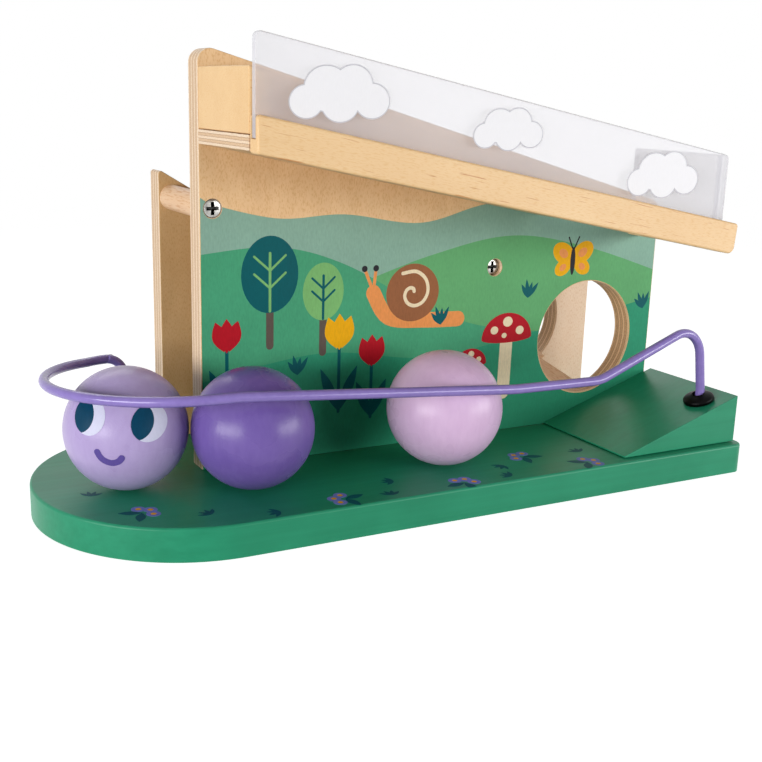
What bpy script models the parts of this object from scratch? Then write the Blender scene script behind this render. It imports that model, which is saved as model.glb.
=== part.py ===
"""Wooden marble run: a painted base, a two-panel tower, a sloped tray and a bent wire guard.

Metres, +Z up. The origin is the centre of the base's underside, +X runs along the base towards
the wedge, and +Y runs from the ball lane towards the back of the tower.
"""
from math import acos, atan, cos, pi, radians, sin, sqrt, tan

import bmesh
import bpy
from mathutils import Matrix, Vector

# Gap between pieces that touch, and how far a cutter reaches past the face it opens
FIT = 0.0003
OVERSHOOT = 0.002

# Balls
BALL_DIAMETER = 0.046
BALL_TOUCH = 0.0005
HEAD_TO_WIRE = 0.0070
HEAD_BEARING = radians(197.4)
PURPLE_TO_PANEL = 0.003
PINK_TO_WEDGE = 0.0724
PINK_TO_WIRE = 0.0007

# Tower panels
PANEL_LENGTH = 0.220
PANEL_THICKNESS = 0.010
PANEL_GAP = 0.0372
PANEL_END_SET_BACK = 0.0065
PANEL_REAR_SET_BACK = 0.0035
PANEL_EASE = 0.0005
PANEL_CORNER = 0.005
FRONT_HEIGHT_LEFT = 0.160
FRONT_HEIGHT_RIGHT = 0.098
REAR_HEIGHT_LEFT = 0.1128
REAR_HEIGHT_RIGHT = 0.086
REAR_FALL = radians(30.5)
REAR_SWEEP = 0.020
REAR_CORNER = 0.0012
REAR_END_PROUD = 0.0016

# Base board: as wide as the ball lane, the tower and the strip behind it, and as long as the
# tower and the round end beside it
NOSE_LEAD = 0.0055
BASE_THICKNESS = 0.0125
BASE_CORNER = 0.005
BASE_EASE = 0.0012
LANE_SPARE = 0.0133

# Tunnel through both panels
HOLE_SPARE = 0.005
HOLE_SILL = 0.0131
HOLE_TO_EDGE = 0.0369
REAR_HOLE_SHIFT = -0.0051
RAMP_SLOPE = radians(10.5)
RAMP_OVER_SILL = 0.0005
RAMP_LEFT = 0.0170
RAMP_RIGHT = 0.0079
TONGUE_ROOT = 0.004

# Landing wedge
WEDGE_LENGTH = 0.060
WEDGE_HEIGHT = 0.0204
WEDGE_TOE = 0.0006
WEDGE_FRONT_SET_BACK = 0.004
WEDGE_END_SET_BACK = 0.003
WEDGE_EASE = 0.0005

# Guard wire: heights are above the ball centres in the lane, but the knee's is above the wedge
WIRE_DIAMETER = 0.0038
WIRE_INSET = 0.007
WIRE_BEND = 0.0075
WIRE_FOOT_DEPTH = 0.010
WIRE_FOOT_FROM_END = 0.0147
WIRE_FOOT_FROM_FRONT = 0.0146
WIRE_KNEE = 0.0055
WIRE_KNEE_BEND = 0.010
WIRE_PEAK = 0.0285
WIRE_PEAK_LEAN = 0.0044
WIRE_PEAK_BEND = 0.012
WIRE_DIP = 0.0102
WIRE_DIP_FROM_FOOT = 0.0611
WIRE_DIP_OUT = 0.0066
WIRE_DIP_BEND = 0.020
WIRE_RUN_START = 0.0111
WIRE_RUN_FROM_FOOT = 0.1033
WIRE_RUN_BEND = 0.080
WIRE_NOSE_FRONT = 0.0199
WIRE_NOSE_BACK = 0.0127
WIRE_NOSE_EASE = 1.4
WIRE_NOSE_TURN = radians(150)
WIRE_TURN_IN = 0.006
WIRE_TURN_BEND = 0.020
WIRE_BACK_REACH = 0.0110

# Rubber bushings round the wire's feet
BUSHING_DIAMETER = 0.0130
BUSHING_HEIGHT = 0.0036
BUSHING_RIM = 0.0012
BUSHING_UNDERCUT = 0.0003

# Tray over the ball lane
TRAY_SLOPE = atan(0.2)
TRAY_LOW_EDGE = 0.0942
TRAY_SET_BACK = 0.004
RAIL_THICKNESS = 0.007
RAIL_HEIGHT = 0.0125
RAIL_EASE = 0.0006
RAIL_END_FROM_BASE_END = 0.014
RAIL_END_LEAN = radians(5)
RAIL_LOW_CORNER = 0.0025
RAIL_TOP_CORNER = 0.0012
GROOVE_DEPTH = 0.008
FLOOR_THICKNESS = 0.005
FLOOR_OVER_RAIL_EDGE = 0.0008
WINDOW_THICKNESS = 0.0028
WINDOW_RISE = 0.026
WINDOW_END_FROM_RAIL_END = 0.0065
WINDOW_CORNER = 0.002
DROP_SPARE = 0.004
STOP_LENGTH = 0.008
STOP_HEIGHT = 0.022
BRIDGE_LENGTH = 0.0065

# Spacer dowels: place is from the panel's left edge and above the base
DOWEL_DIAMETER = 0.010
UPPER_DOWEL_PLACE = (0.0053, 0.1011)
LOWER_DOWEL_PLACE = (0.1325, 0.0725)
COUNTERBORE_DEPTH = 0.0022

# Screws: head and shank diameters, and length
DOWEL_SCREW = (0.0068, 0.0035, 0.024)
FOOT_SCREW = (0.0070, 0.0035, 0.030)
SHORT_SCREW = (0.0070, 0.0035, 0.021)
TRAY_SCREW = (0.0052, 0.0025, 0.024)
SCREW_RIM = 0.0005
SCREW_SINK = 0.0002
CROSS_ARM = 0.70
CROSS_WIDTH = 0.0013
CROSS_DEPTH = 0.0013
FOOT_SCREW_FROM_LEFT = 0.020
FOOT_SCREW_FROM_RIGHT = 0.011
WEDGE_SCREWS = (0.014, 0.034)
WEDGE_SCREW_FROM_END = 0.018
RAMP_SCREWS = (0.010, 0.028)
TRAY_SCREWS = (0.020, 0.078, 0.134)

# Facets of round shapes, and the angles that are shaded or rounded as edges
ARC_STEPS = 8
NOSE_STEPS = 30
HOLE_STEPS = 48
ROUND_STEPS = 20
SCREW_STEPS = 12
BALL_SEGMENTS = 30
BALL_RINGS = 18
WIRE_BEVEL_STEPS = 2
SHARP_ANGLE = radians(35)
EASED_ANGLE = radians(40)
WELD = 0.000001

# Worked-out places
ball_radius = BALL_DIAMETER/2
lane_width = BALL_DIAMETER+LANE_SPARE
tower_depth = 2*PANEL_THICKNESS+PANEL_GAP
base_width = lane_width+tower_depth+PANEL_REAR_SET_BACK
base_length = base_width/2+NOSE_LEAD+PANEL_LENGTH+PANEL_END_SET_BACK
base_left = -base_length/2
base_right = base_length/2
base_front = -base_width/2
base_top = BASE_THICKNESS
on_base = base_top+FIT
nose_x = base_left+base_width/2
lane_ball_z = on_base+ball_radius

panel_right = base_right-PANEL_END_SET_BACK
panel_left = panel_right-PANEL_LENGTH
front_face = base_front+lane_width
front_back = front_face+PANEL_THICKNESS
rear_face = front_back+PANEL_GAP
rear_back = rear_face+PANEL_THICKNESS

hole_radius = (BALL_DIAMETER+HOLE_SPARE)/2
hole_x = panel_right-HOLE_TO_EDGE
rear_hole_x = hole_x+REAR_HOLE_SHIFT
hole_z = base_top+HOLE_SILL+hole_radius

wedge_right = base_right-WEDGE_END_SET_BACK
wedge_left = wedge_right-WEDGE_LENGTH
wedge_front = base_front+WEDGE_FRONT_SET_BACK
wedge_slope = atan((WEDGE_HEIGHT-WEDGE_TOE)/WEDGE_LENGTH)

wire_hole = WIRE_DIAMETER/2+FIT
wire_y = base_front+WIRE_INSET
nose_radius = -wire_y

tray_front = base_front+TRAY_SET_BACK
rail_back = tray_front+RAIL_THICKNESS
rail_right = base_right-RAIL_END_FROM_BASE_END
groove_width = WINDOW_THICKNESS+2*FIT
groove_front = tray_front+(RAIL_THICKNESS-groove_width)/2
window_front = groove_front+FIT
window_right = rail_right-WINDOW_END_FROM_RAIL_END
end_window_left = window_right-WINDOW_THICKNESS
drop_left = end_window_left-BALL_DIAMETER-DROP_SPARE


def rail_low(x):
    """Height of the rail's lower edge, which sets the slope of the whole tray."""
    return TRAY_LOW_EDGE+(rail_right-x)*tan(TRAY_SLOPE)


def rail_top(x):
    return rail_low(x)+RAIL_HEIGHT/cos(TRAY_SLOPE)


def floor_low(x):
    return rail_low(x)+FLOOR_OVER_RAIL_EDGE


def floor_top(x):
    return floor_low(x)+FLOOR_THICKNESS/cos(TRAY_SLOPE)


def wedge_top(x):
    return on_base+WEDGE_TOE+(x-wedge_left)*tan(wedge_slope)


def nose_point(share):
    """A point of the wire round the base's nose, from its front (0) to its back (1), sinking on the way."""
    angle = -pi/2-WIRE_NOSE_TURN*share
    height = WIRE_NOSE_FRONT+(WIRE_NOSE_BACK-WIRE_NOSE_FRONT)*share**WIRE_NOSE_EASE
    return Vector((nose_x+nose_radius*cos(angle), nose_radius*sin(angle), lane_ball_z+height))


# The wire leaves the nose along its tangent, turns in parallel to the lane, then goes down
nose_end = nose_point(1)
wire_turn_in = nose_end+WIRE_TURN_IN*Vector((-cos(WIRE_NOSE_TURN), sin(WIRE_NOSE_TURN), 0))
wire_back_top = wire_turn_in+Vector((WIRE_BACK_REACH, 0, 0))
wire_back_foot = Vector((wire_back_top.x, wire_back_top.y, base_top-WIRE_FOOT_DEPTH))


# Start from an empty scene
for leftover in list(bpy.data.objects):
    bpy.data.objects.remove(leftover, do_unlink=True)


def finish(name, colour, roughness, metallic=0.0, alpha=1.0):
    """A Principled material with one colour."""
    material = bpy.data.materials.new(name)
    material.use_nodes = True
    shader = material.node_tree.nodes["Principled BSDF"]
    shader.inputs["Base Color"].default_value = (*colour, 1)
    shader.inputs["Roughness"].default_value = roughness
    shader.inputs["Metallic"].default_value = metallic
    shader.inputs["Alpha"].default_value = alpha
    return material


GREEN_PAINT = finish("green_paint", (0.045, 0.27, 0.15), 0.4)
PLYWOOD = finish("plywood", (0.60, 0.40, 0.20), 0.55)
PINE = finish("pine", (0.80, 0.57, 0.32), 0.5)
BEECH = finish("beech", (0.68, 0.44, 0.25), 0.5)
CLEAR = finish("clear_sheet", (0.85, 0.85, 0.88), 0.08, alpha=0.3)
PURPLE_COAT = finish("purple_coat", (0.22, 0.16, 0.43), 0.35)
BLACK_RUBBER = finish("black_rubber", (0.006, 0.006, 0.006), 0.4)
STEEL = finish("steel", (0.62, 0.60, 0.57), 0.3, metallic=1.0)
LILAC_PAINT = finish("lilac_paint", (0.40, 0.31, 0.58), 0.4)
PURPLE_PAINT = finish("purple_paint", (0.17, 0.11, 0.40), 0.4)
PINK_PAINT = finish("pink_paint", (0.60, 0.39, 0.61), 0.4)


def put(name, mesh, material, location=(0, 0, 0), matrix=None):
    """Links one named object with its material, at a place or with a whole matrix."""
    piece = bpy.data.objects.new(name, mesh)
    bpy.context.scene.collection.objects.link(piece)
    if not mesh.materials:
        mesh.materials.append(material)
    piece.location = location
    if matrix is not None:
        piece.matrix_world = matrix
    return piece


def mesh_of(name, bm, smooth=False):
    """Turns a bmesh into a mesh with its faces pointing out."""
    bmesh.ops.recalc_face_normals(bm, faces=bm.faces)
    mesh = bpy.data.meshes.new(name)
    bm.to_mesh(mesh)
    bm.free()
    if smooth:
        mesh.shade_smooth()
        mesh.set_sharp_from_angle(angle=SHARP_ANGLE)
    return mesh


def rounded(corners):
    """Outline through corners (u, v, radius), each one replaced by an arc of its radius."""
    outline = []
    for index, (u, v, radius) in enumerate(corners):
        here = Vector((u, v))
        back = (Vector(corners[index-1][:2])-here).normalized()
        on = (Vector(corners[(index+1) % len(corners)][:2])-here).normalized()
        if radius == 0:
            outline.append(here)
            continue
        half = back.angle(on)/2
        centre = here+(back+on).normalized()*radius/sin(half)
        start = here+back*radius/tan(half)-centre
        turn = start.angle_signed(here+on*radius/tan(half)-centre)
        steps = max(3, round(ARC_STEPS*abs(turn)/(pi/2)))
        for step in range(steps+1):
            outline.append(centre+Matrix.Rotation(-turn*step/steps, 2) @ start)
    return [p for i, p in enumerate(outline) if (p-outline[i-1]).length > WELD]


def add_prism(bm, outline, across, low, high):
    """Adds an outline's prism; across is the axis it runs along, from low to high."""
    def place(point, depth):
        u, v = point[0], point[1]
        return {"x": (depth, u, v), "y": (u, depth, v), "z": (u, v, depth)}[across]
    face = bm.faces.new([bm.verts.new(place(p, low)) for p in outline])
    raised = bmesh.ops.extrude_face_region(bm, geom=[face])["geom"]
    moved = [v for v in raised if isinstance(v, bmesh.types.BMVert)]
    bmesh.ops.translate(bm, vec=place((0, 0), high-low), verts=moved)


def add_turned(bm, profile, steps, matrix):
    """Adds a profile of (radius, height) turned round its own Z axis, then placed by the matrix."""
    chain = [bm.verts.new((radius, 0, height)) for radius, height in profile]
    edges = [bm.edges.new(pair) for pair in zip(chain, chain[1:])]
    before = set(bm.verts)-set(chain)
    bmesh.ops.spin(bm, geom=chain+edges, cent=(0, 0, 0), axis=(0, 0, 1), angle=2*pi, steps=steps,
                   use_merge=True)
    turned = [v for v in bm.verts if v not in before]
    bmesh.ops.remove_doubles(bm, verts=turned, dist=WELD)
    turned = [v for v in bm.verts if v not in before]
    bmesh.ops.transform(bm, matrix=matrix, verts=turned)


def add_box(bm, low, high):
    add_prism(bm, [(low[0], low[1]), (high[0], low[1]), (high[0], high[1]), (low[0], high[1])],
              "z", low[2], high[2])


def add_round(bm, radius, start, end, steps=ROUND_STEPS):
    """Adds a plain cylinder between two points."""
    start, end = Vector(start), Vector(end)
    length = (end-start).length
    turn = (end-start).to_track_quat("Z", "Y").to_matrix().to_4x4()
    add_turned(bm, [(0, length), (radius, length), (radius, 0), (0, 0)], steps,
               Matrix.Translation(start) @ turn)


def prism(name, material, outline, across, low, high):
    bm = bmesh.new()
    add_prism(bm, outline, across, low, high)
    return put(name, mesh_of(name, bm, smooth=True), material)


def ease(piece, width, segments=2):
    """Rounds a piece's sharp edges."""
    bevel = piece.modifiers.new("eased_edges", "BEVEL")
    bevel.width = width
    bevel.segments = segments
    bevel.limit_method = "ANGLE"
    bevel.angle_limit = EASED_ANGLE


def cut(piece, bm, operation="DIFFERENCE"):
    """Takes the shapes in the bmesh out of a piece, or joins or crosses them with it."""
    cutter = put(f"{piece.name}_{operation.lower()}", mesh_of("cutter", bm), None)
    cutter.hide_render = True
    cutter.display_type = "WIRE"
    boolean = piece.modifiers.new(operation.lower(), "BOOLEAN")
    boolean.operation = operation
    boolean.object = cutter
    boolean.solver = "EXACT"


def screw_matrix(head, drive):
    """Places a screw whose head centre and driving direction are given; its shank runs along -Z."""
    turn = (-Vector(drive)).to_track_quat("Z", "Y").to_matrix().to_4x4()
    return Matrix.Translation(head) @ turn


def add_screw_hole(bm, size, matrix, counterbore=0.0):
    """Adds the hole for a countersunk screw, open past the face that the head sits in."""
    head, shank, length = size
    wide = head/2+FIT
    slim = shank/2+FIT
    cone = SCREW_RIM+wide-slim
    open_end = counterbore+OVERSHOOT
    add_turned(bm, [(0, open_end), (wide, open_end), (wide, -SCREW_RIM), (slim, -cone),
                    (slim, -length-FIT), (0, -length-FIT)], SCREW_STEPS, matrix)


def cross_recess(size):
    """The cross-shaped hollow in a screw's head."""
    arm = size[0]/2*CROSS_ARM
    slim = CROSS_WIDTH/2
    plus = [(arm, -slim), (arm, slim), (slim, slim), (slim, arm), (-slim, arm), (-slim, slim),
            (-arm, slim), (-arm, -slim), (-slim, -slim), (-slim, -arm), (slim, -arm), (slim, -slim)]
    bm = bmesh.new()
    add_prism(bm, plus, "z", -CROSS_DEPTH, OVERSHOOT)
    return bm


def screw_mesh(name, size):
    """One countersunk cross-head screw, head up at the origin."""
    head, shank, length = size
    tip = shank
    cone = SCREW_RIM+(head-shank)/2
    bm = bmesh.new()
    add_turned(bm, [(0, 0), (head/2, 0), (head/2, -SCREW_RIM), (shank/2, -cone),
                    (shank/2, -length+tip), (0, -length)], SCREW_STEPS, Matrix.Identity(4))
    blank = put(f"{name}_blank", mesh_of(name, bm, smooth=True), STEEL)
    cut(blank, cross_recess(size))
    graph = bpy.context.evaluated_depsgraph_get()
    mesh = bpy.data.meshes.new_from_object(blank.evaluated_get(graph))
    for spent in (blank.modifiers[0].object, blank):
        bpy.data.objects.remove(spent, do_unlink=True)
    return mesh


screws = []


def plan_screws(name, size, heads, drive):
    """Notes one screw for each head centre, so that its holes and its solid share one place."""
    planned = [(f"{name}_{number}", size, screw_matrix(head, drive))
               for number, head in enumerate(heads, 1)]
    screws.extend(planned)
    return planned


# Where every screw goes
under = SCREW_SINK
foot_screw_ends = (panel_left+FOOT_SCREW_FROM_LEFT, panel_right-FOOT_SCREW_FROM_RIGHT)
foot_screw_xs = (foot_screw_ends[0], sum(foot_screw_ends)/2, foot_screw_ends[1])
front_foot_screws = plan_screws("front_foot_screw", FOOT_SCREW, [
    (x, front_face+PANEL_THICKNESS/2, under) for x in foot_screw_xs], (0, 0, 1))
rear_foot_screws = plan_screws("rear_foot_screw", FOOT_SCREW, [
    (x, rear_face+PANEL_THICKNESS/2, under) for x in foot_screw_xs], (0, 0, 1))
wedge_screws = plan_screws("wedge_screw", SHORT_SCREW, [
    (wedge_right-WEDGE_SCREW_FROM_END, front_face-inward, under) for inward in WEDGE_SCREWS], (0, 0, 1))
ramp_screws = plan_screws("ramp_screw", SHORT_SCREW, [
    (rear_hole_x, front_back+inward, under) for inward in RAMP_SCREWS], (0, 0, 1))

dowel_places = [(panel_left+along, on_base+up) for along, up in (UPPER_DOWEL_PLACE, LOWER_DOWEL_PLACE)]
dowel_front_screws = plan_screws("front_dowel_screw", DOWEL_SCREW, [
    (dowel_places[0][0], front_face+SCREW_SINK, dowel_places[0][1]),
    (dowel_places[1][0], front_face+COUNTERBORE_DEPTH, dowel_places[1][1])], (0, 1, 0))
dowel_rear_screws = plan_screws("rear_dowel_screw", DOWEL_SCREW, [
    (x, rear_back-SCREW_SINK, z) for x, z in dowel_places], (0, -1, 0))

bridge_left = end_window_left
bridge_middle = bridge_left+BRIDGE_LENGTH/2
tray_screw_xs = [panel_left+along for along in TRAY_SCREWS]+[bridge_middle]
tray_screws = plan_screws("tray_screw", TRAY_SCREW, [
    (x, front_back-SCREW_SINK, (floor_low(x)+floor_top(x))/2) for x in tray_screw_xs], (0, -1, 0))


def add_screw_holes(bm, planned, counterbore=0.0):
    for _, size, matrix in planned:
        add_screw_hole(bm, size, matrix, counterbore)


def add_upright_hole(bm, foot, surface):
    """Adds the hole for a foot of the wire, open past the surface that it goes into."""
    low = (foot.x, foot.y, foot.z-FIT)
    high = (foot.x, foot.y, surface+OVERSHOOT)
    add_round(bm, wire_hole, low, high)


def add_ball_hole(bm, x, face, back):
    """Adds the round hole that a ball goes through, open past both faces of a panel."""
    add_round(bm, hole_radius, (x, face-OVERSHOOT, hole_z), (x, back+OVERSHOOT, hole_z), HOLE_STEPS)


# Base board: one round end, one square end, screw holes up from below and one for the wire
base = prism("base_board", GREEN_PAINT, rounded([
    (base_left, base_front, base_width/2), (base_right, base_front, BASE_CORNER),
    (base_right, -base_front, BASE_CORNER), (base_left, -base_front, base_width/2)]), "z", 0, base_top)
ease(base, BASE_EASE)
holes = bmesh.new()
add_screw_holes(holes, front_foot_screws+rear_foot_screws+wedge_screws+ramp_screws)
add_upright_hole(holes, wire_back_foot, base_top)
cut(base, holes)

# Front panel: its top falls to the right, with the ball hole near its right end
front = prism("front_panel", PLYWOOD, rounded([
    (panel_left, on_base, 0), (panel_right, on_base, 0),
    (panel_right, base_top+FRONT_HEIGHT_RIGHT, PANEL_CORNER),
    (panel_left, base_top+FRONT_HEIGHT_LEFT, PANEL_CORNER)]), "y", front_face, front_back)
ease(front, PANEL_EASE, 1)
holes = bmesh.new()
add_ball_hole(holes, hole_x, front_face, front_back)
add_screw_holes(holes, front_foot_screws+tray_screws+dowel_front_screws[:1])
add_screw_holes(holes, dowel_front_screws[1:], COUNTERBORE_DEPTH)
cut(front, holes)

# Rear panel: its top falls from the left corner, then runs level
fall_end = panel_left+(REAR_HEIGHT_LEFT-REAR_HEIGHT_RIGHT)/tan(REAR_FALL)
rear_right = panel_right+REAR_END_PROUD
rear = prism("rear_panel", PLYWOOD, rounded([
    (panel_left, on_base, 0), (rear_right, on_base, 0),
    (rear_right, base_top+REAR_HEIGHT_RIGHT, PANEL_CORNER),
    (fall_end, base_top+REAR_HEIGHT_RIGHT, REAR_SWEEP),
    (panel_left, base_top+REAR_HEIGHT_LEFT, REAR_CORNER)]), "y", rear_face, rear_back)
ease(rear, PANEL_EASE, 1)
holes = bmesh.new()
add_ball_hole(holes, rear_hole_x, rear_face, rear_back)
add_screw_holes(holes, rear_foot_screws+dowel_rear_screws)
cut(rear, holes)

# Spacer dowels between the panels, drilled at both ends
dowel_ends = (front_back+FIT, rear_face-FIT)
for name, place, pair in zip(("upper_dowel", "lower_dowel"), dowel_places,
                             zip(dowel_front_screws, dowel_rear_screws)):
    x, z = place
    bm = bmesh.new()
    add_round(bm, DOWEL_DIAMETER/2, (x, dowel_ends[0], z), (x, dowel_ends[1], z))
    dowel = put(name, mesh_of(name, bm, smooth=True), BEECH)
    holes = bmesh.new()
    add_screw_holes(holes, pair)
    cut(dowel, holes)

# Tunnel ramp: a block between the panels, with a round tongue in the foot of the rear hole,
# cut off along one slope
ramp_front = front_back+FIT
ramp_back = rear_face-FIT
ramp_front_top = base_top+HOLE_SILL+RAMP_OVER_SILL


def ramp_top(y):
    return ramp_front_top+(y-ramp_front)*tan(RAMP_SLOPE)


bm = bmesh.new()
ramp_high = ramp_top(rear_back)
ramp_sides = (rear_hole_x-RAMP_LEFT, hole_x+RAMP_RIGHT)
add_box(bm, (ramp_sides[0], ramp_front, on_base), (ramp_sides[1], ramp_back, ramp_high))
ramp = put("tunnel_ramp", mesh_of("tunnel_ramp", bm), BEECH)
tongue_radius = hole_radius-FIT
tongue_spread = acos((hole_z-ramp_high)/tongue_radius)
tongue_outline = []
for step in range(ARC_STEPS+1):
    angle = tongue_spread*(2*step/ARC_STEPS-1)
    tongue_outline.append((rear_hole_x+tongue_radius*sin(angle), hole_z-tongue_radius*cos(angle)))
tongue = bmesh.new()
add_prism(tongue, tongue_outline, "y", ramp_back-TONGUE_ROOT, rear_back)
cut(ramp, tongue, "UNION")
slope = bmesh.new()
slope_ends = (ramp_front-OVERSHOOT, rear_back+OVERSHOOT)
slope_ceiling = ramp_top(slope_ends[1])+OVERSHOOT
add_prism(slope, [
    (slope_ends[0], ramp_top(slope_ends[0])), (slope_ends[1], ramp_top(slope_ends[1])),
    (slope_ends[1], slope_ceiling), (slope_ends[0], slope_ceiling)],
    "x", rear_hole_x-hole_radius, rear_hole_x+hole_radius)
add_screw_holes(slope, ramp_screws)
cut(ramp, slope)

# Landing wedge, drilled for the wire's foot
wire_foot = Vector((base_right-WIRE_FOOT_FROM_END, base_front+WIRE_FOOT_FROM_FRONT, 0))
wire_foot.z = wedge_top(wire_foot.x)-WIRE_FOOT_DEPTH
wedge = prism("landing_wedge", GREEN_PAINT, [
    (wedge_left, on_base), (wedge_right, on_base), (wedge_right, wedge_top(wedge_right)),
    (wedge_left, wedge_top(wedge_left))], "y", wedge_front, front_face-FIT)
ease(wedge, WEDGE_EASE)
holes = bmesh.new()
add_screw_holes(holes, wedge_screws)
add_upright_hole(holes, wire_foot, wedge_top(wedge_right))
cut(wedge, holes)


def bent_path(corners):
    """Points along a wire through corners (place, bend radius), with an arc at every bend."""
    points = []
    for index, (here, radius) in enumerate(corners):
        if radius == 0:
            points.append(here)
            continue
        back = (corners[index-1][0]-here).normalized()
        on = (corners[index+1][0]-here).normalized()
        half = back.angle(on)/2
        centre = here+(back+on).normalized()*radius/sin(half)
        start = here+back*radius/tan(half)-centre
        axis = back.cross(on)
        turn = pi-2*half
        steps = max(3, round(ARC_STEPS*turn/(pi/2)))
        for step in range(steps+1):
            points.append(centre+Matrix.Rotation(-turn*step/steps, 3, axis) @ start)
    return points


# Guard wire: up from the wedge with a lean, over a peak, along the lane, round the nose and down
wire_knee = Vector((wire_foot.x, wire_foot.y, wedge_top(wire_foot.x)+WIRE_KNEE))
wire_peak = Vector((wire_foot.x-WIRE_PEAK_LEAN, wire_foot.y, lane_ball_z+WIRE_PEAK))
wire_dip = Vector((wire_foot.x-WIRE_DIP_FROM_FOOT, wire_foot.y-WIRE_DIP_OUT, lane_ball_z+WIRE_DIP))
wire_run = Vector((wire_foot.x-WIRE_RUN_FROM_FOOT, wire_y, lane_ball_z+WIRE_RUN_START))
route = [(wire_foot, 0), (wire_knee, WIRE_KNEE_BEND), (wire_peak, WIRE_PEAK_BEND),
         (wire_dip, WIRE_DIP_BEND), (wire_run, WIRE_RUN_BEND)]
route += [(nose_point(step/NOSE_STEPS), 0) for step in range(NOSE_STEPS+1)]
route += [(wire_turn_in, WIRE_TURN_BEND), (wire_back_top, WIRE_BEND), (wire_back_foot, 0)]
wire_points = bent_path(route)
wire_curve = bpy.data.curves.new("guard_wire", "CURVE")
wire_curve.dimensions = "3D"
wire_curve.bevel_depth = WIRE_DIAMETER/2
wire_curve.bevel_resolution = WIRE_BEVEL_STEPS
wire_curve.use_fill_caps = True
spline = wire_curve.splines.new("POLY")
spline.points.add(len(wire_points)-1)
for knot, point in zip(spline.points, wire_points):
    knot.co = (*point, 1)
wire_curve.materials.append(PURPLE_COAT)
wire = bpy.data.objects.new("guard_wire", wire_curve)
bpy.context.scene.collection.objects.link(wire)


def bushing(name, place, tilt):
    """A domed rubber collar on a face, tilted with it and bored upright for the wire."""
    radius = BUSHING_DIAMETER/2
    profile = [(0, BUSHING_HEIGHT)]
    for step in range(1, ARC_STEPS+1):
        angle = pi/2*step/ARC_STEPS
        profile.append((radius*sin(angle), BUSHING_RIM+(BUSHING_HEIGHT-BUSHING_RIM)*cos(angle)))
    profile += [(radius-BUSHING_UNDERCUT, 0), (0, 0)]
    seat = Matrix.Translation(place) @ Matrix.Rotation(-tilt, 4, "Y") @ Matrix.Translation((0, 0, FIT))
    bm = bmesh.new()
    add_turned(bm, profile, ROUND_STEPS, seat)
    collar = put(name, mesh_of(name, bm, smooth=True), BLACK_RUBBER)
    bore = bmesh.new()
    reach = Vector((0, 0, 2*BUSHING_HEIGHT))
    add_round(bore, wire_hole, Vector(place)-reach, Vector(place)+reach)
    cut(collar, bore)


bushing("wedge_bushing", (wire_foot.x, wire_foot.y, wedge_top(wire_foot.x)), wedge_slope)
bushing("base_bushing", (wire_back_foot.x, wire_back_foot.y, base_top), 0)

# Tray rail: a pine strip with a groove in its top for the window
rail_left = panel_left
lean = tan(RAIL_END_LEAN)*RAIL_HEIGHT/2
rail = prism("tray_rail", PINE, rounded([
    (rail_left, rail_low(rail_left), RAIL_TOP_CORNER),
    (rail_right-lean, rail_low(rail_right-lean), RAIL_LOW_CORNER),
    (rail_right+lean, rail_top(rail_right+lean), RAIL_TOP_CORNER),
    (rail_left, rail_top(rail_left), RAIL_TOP_CORNER)]), "y", tray_front, rail_back)
ease(rail, RAIL_EASE)
groove = bmesh.new()
groove_ends = (rail_left-OVERSHOOT, window_right+FIT)
add_prism(groove, [(groove_ends[0], rail_top(groove_ends[0])-GROOVE_DEPTH),
                   (groove_ends[1], rail_top(groove_ends[1])-GROOVE_DEPTH),
                   (groove_ends[1], rail_top(groove_ends[1])+OVERSHOOT),
                   (groove_ends[0], rail_top(groove_ends[0])+OVERSHOOT)],
          "y", groove_front, groove_front+groove_width)
cut(rail, groove)

# Tray floor: a plywood strip between the rail and the front panel, ending at the drop
floor_sides = (rail_back+FIT, front_face-FIT)


def tray_slab(name, material, left, right):
    """A piece of the tray's floor, with holes for the screws that end inside it."""
    slab = prism(name, material, [(left, floor_low(left)), (right, floor_low(right)),
                                  (right, floor_top(right)), (left, floor_top(left))], "y", *floor_sides)
    drilled = bmesh.new()
    add_screw_holes(drilled, [s for s in tray_screws if left < s[2].translation.x < right])
    cut(slab, drilled)


tray_slab("tray_floor", PLYWOOD, panel_left, drop_left)
tray_slab("tray_bridge", PINE, bridge_left, bridge_left+BRIDGE_LENGTH)

# Left stop on the tray floor
stop_right = panel_left+STOP_LENGTH
stop = prism("tray_stop", PINE, [
    (panel_left, floor_top(panel_left)+FIT), (stop_right, floor_top(stop_right)+FIT),
    (stop_right, floor_top(stop_right)+STOP_HEIGHT), (panel_left, floor_top(panel_left)+STOP_HEIGHT)],
    "y", *floor_sides)
ease(stop, RAIL_EASE)

# Clear front window in the rail's groove, with upright ends
window_left = panel_left
window_foot = GROOVE_DEPTH-FIT
prism("front_window", CLEAR, rounded([
    (window_left, rail_top(window_left)-window_foot, 0),
    (window_right, rail_top(window_right)-window_foot, 0),
    (window_right, rail_top(window_right)+WINDOW_RISE, WINDOW_CORNER),
    (window_left, rail_top(window_left)+WINDOW_RISE, WINDOW_CORNER)]),
    "y", window_front, window_front+WINDOW_THICKNESS)

# Clear end window: it stands on the bridge and stops the ball over the drop
window_back = window_front+WINDOW_THICKNESS+FIT
end_foot = floor_top(end_window_left)+FIT
end_notch = rail_top(end_window_left)+FIT
end_top = rail_top(window_right)+WINDOW_RISE
prism("end_window", CLEAR, [
    (floor_sides[0], end_foot), (floor_sides[1], end_foot), (floor_sides[1], end_top),
    (window_back, end_top), (window_back, end_notch), (floor_sides[0], end_notch)],
    "x", end_window_left, window_right)

# Screws, each its own piece
meshes = {}
for name, size, matrix in screws:
    if size not in meshes:
        meshes[size] = screw_mesh("screw", size)
    put(name, meshes[size], STEEL, matrix=matrix)


def ball(name, material, place):
    bm = bmesh.new()
    bmesh.ops.create_uvsphere(bm, u_segments=BALL_SEGMENTS, v_segments=BALL_RINGS, radius=ball_radius)
    put(name, mesh_of(name, bm, smooth=True), material, place)


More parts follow.
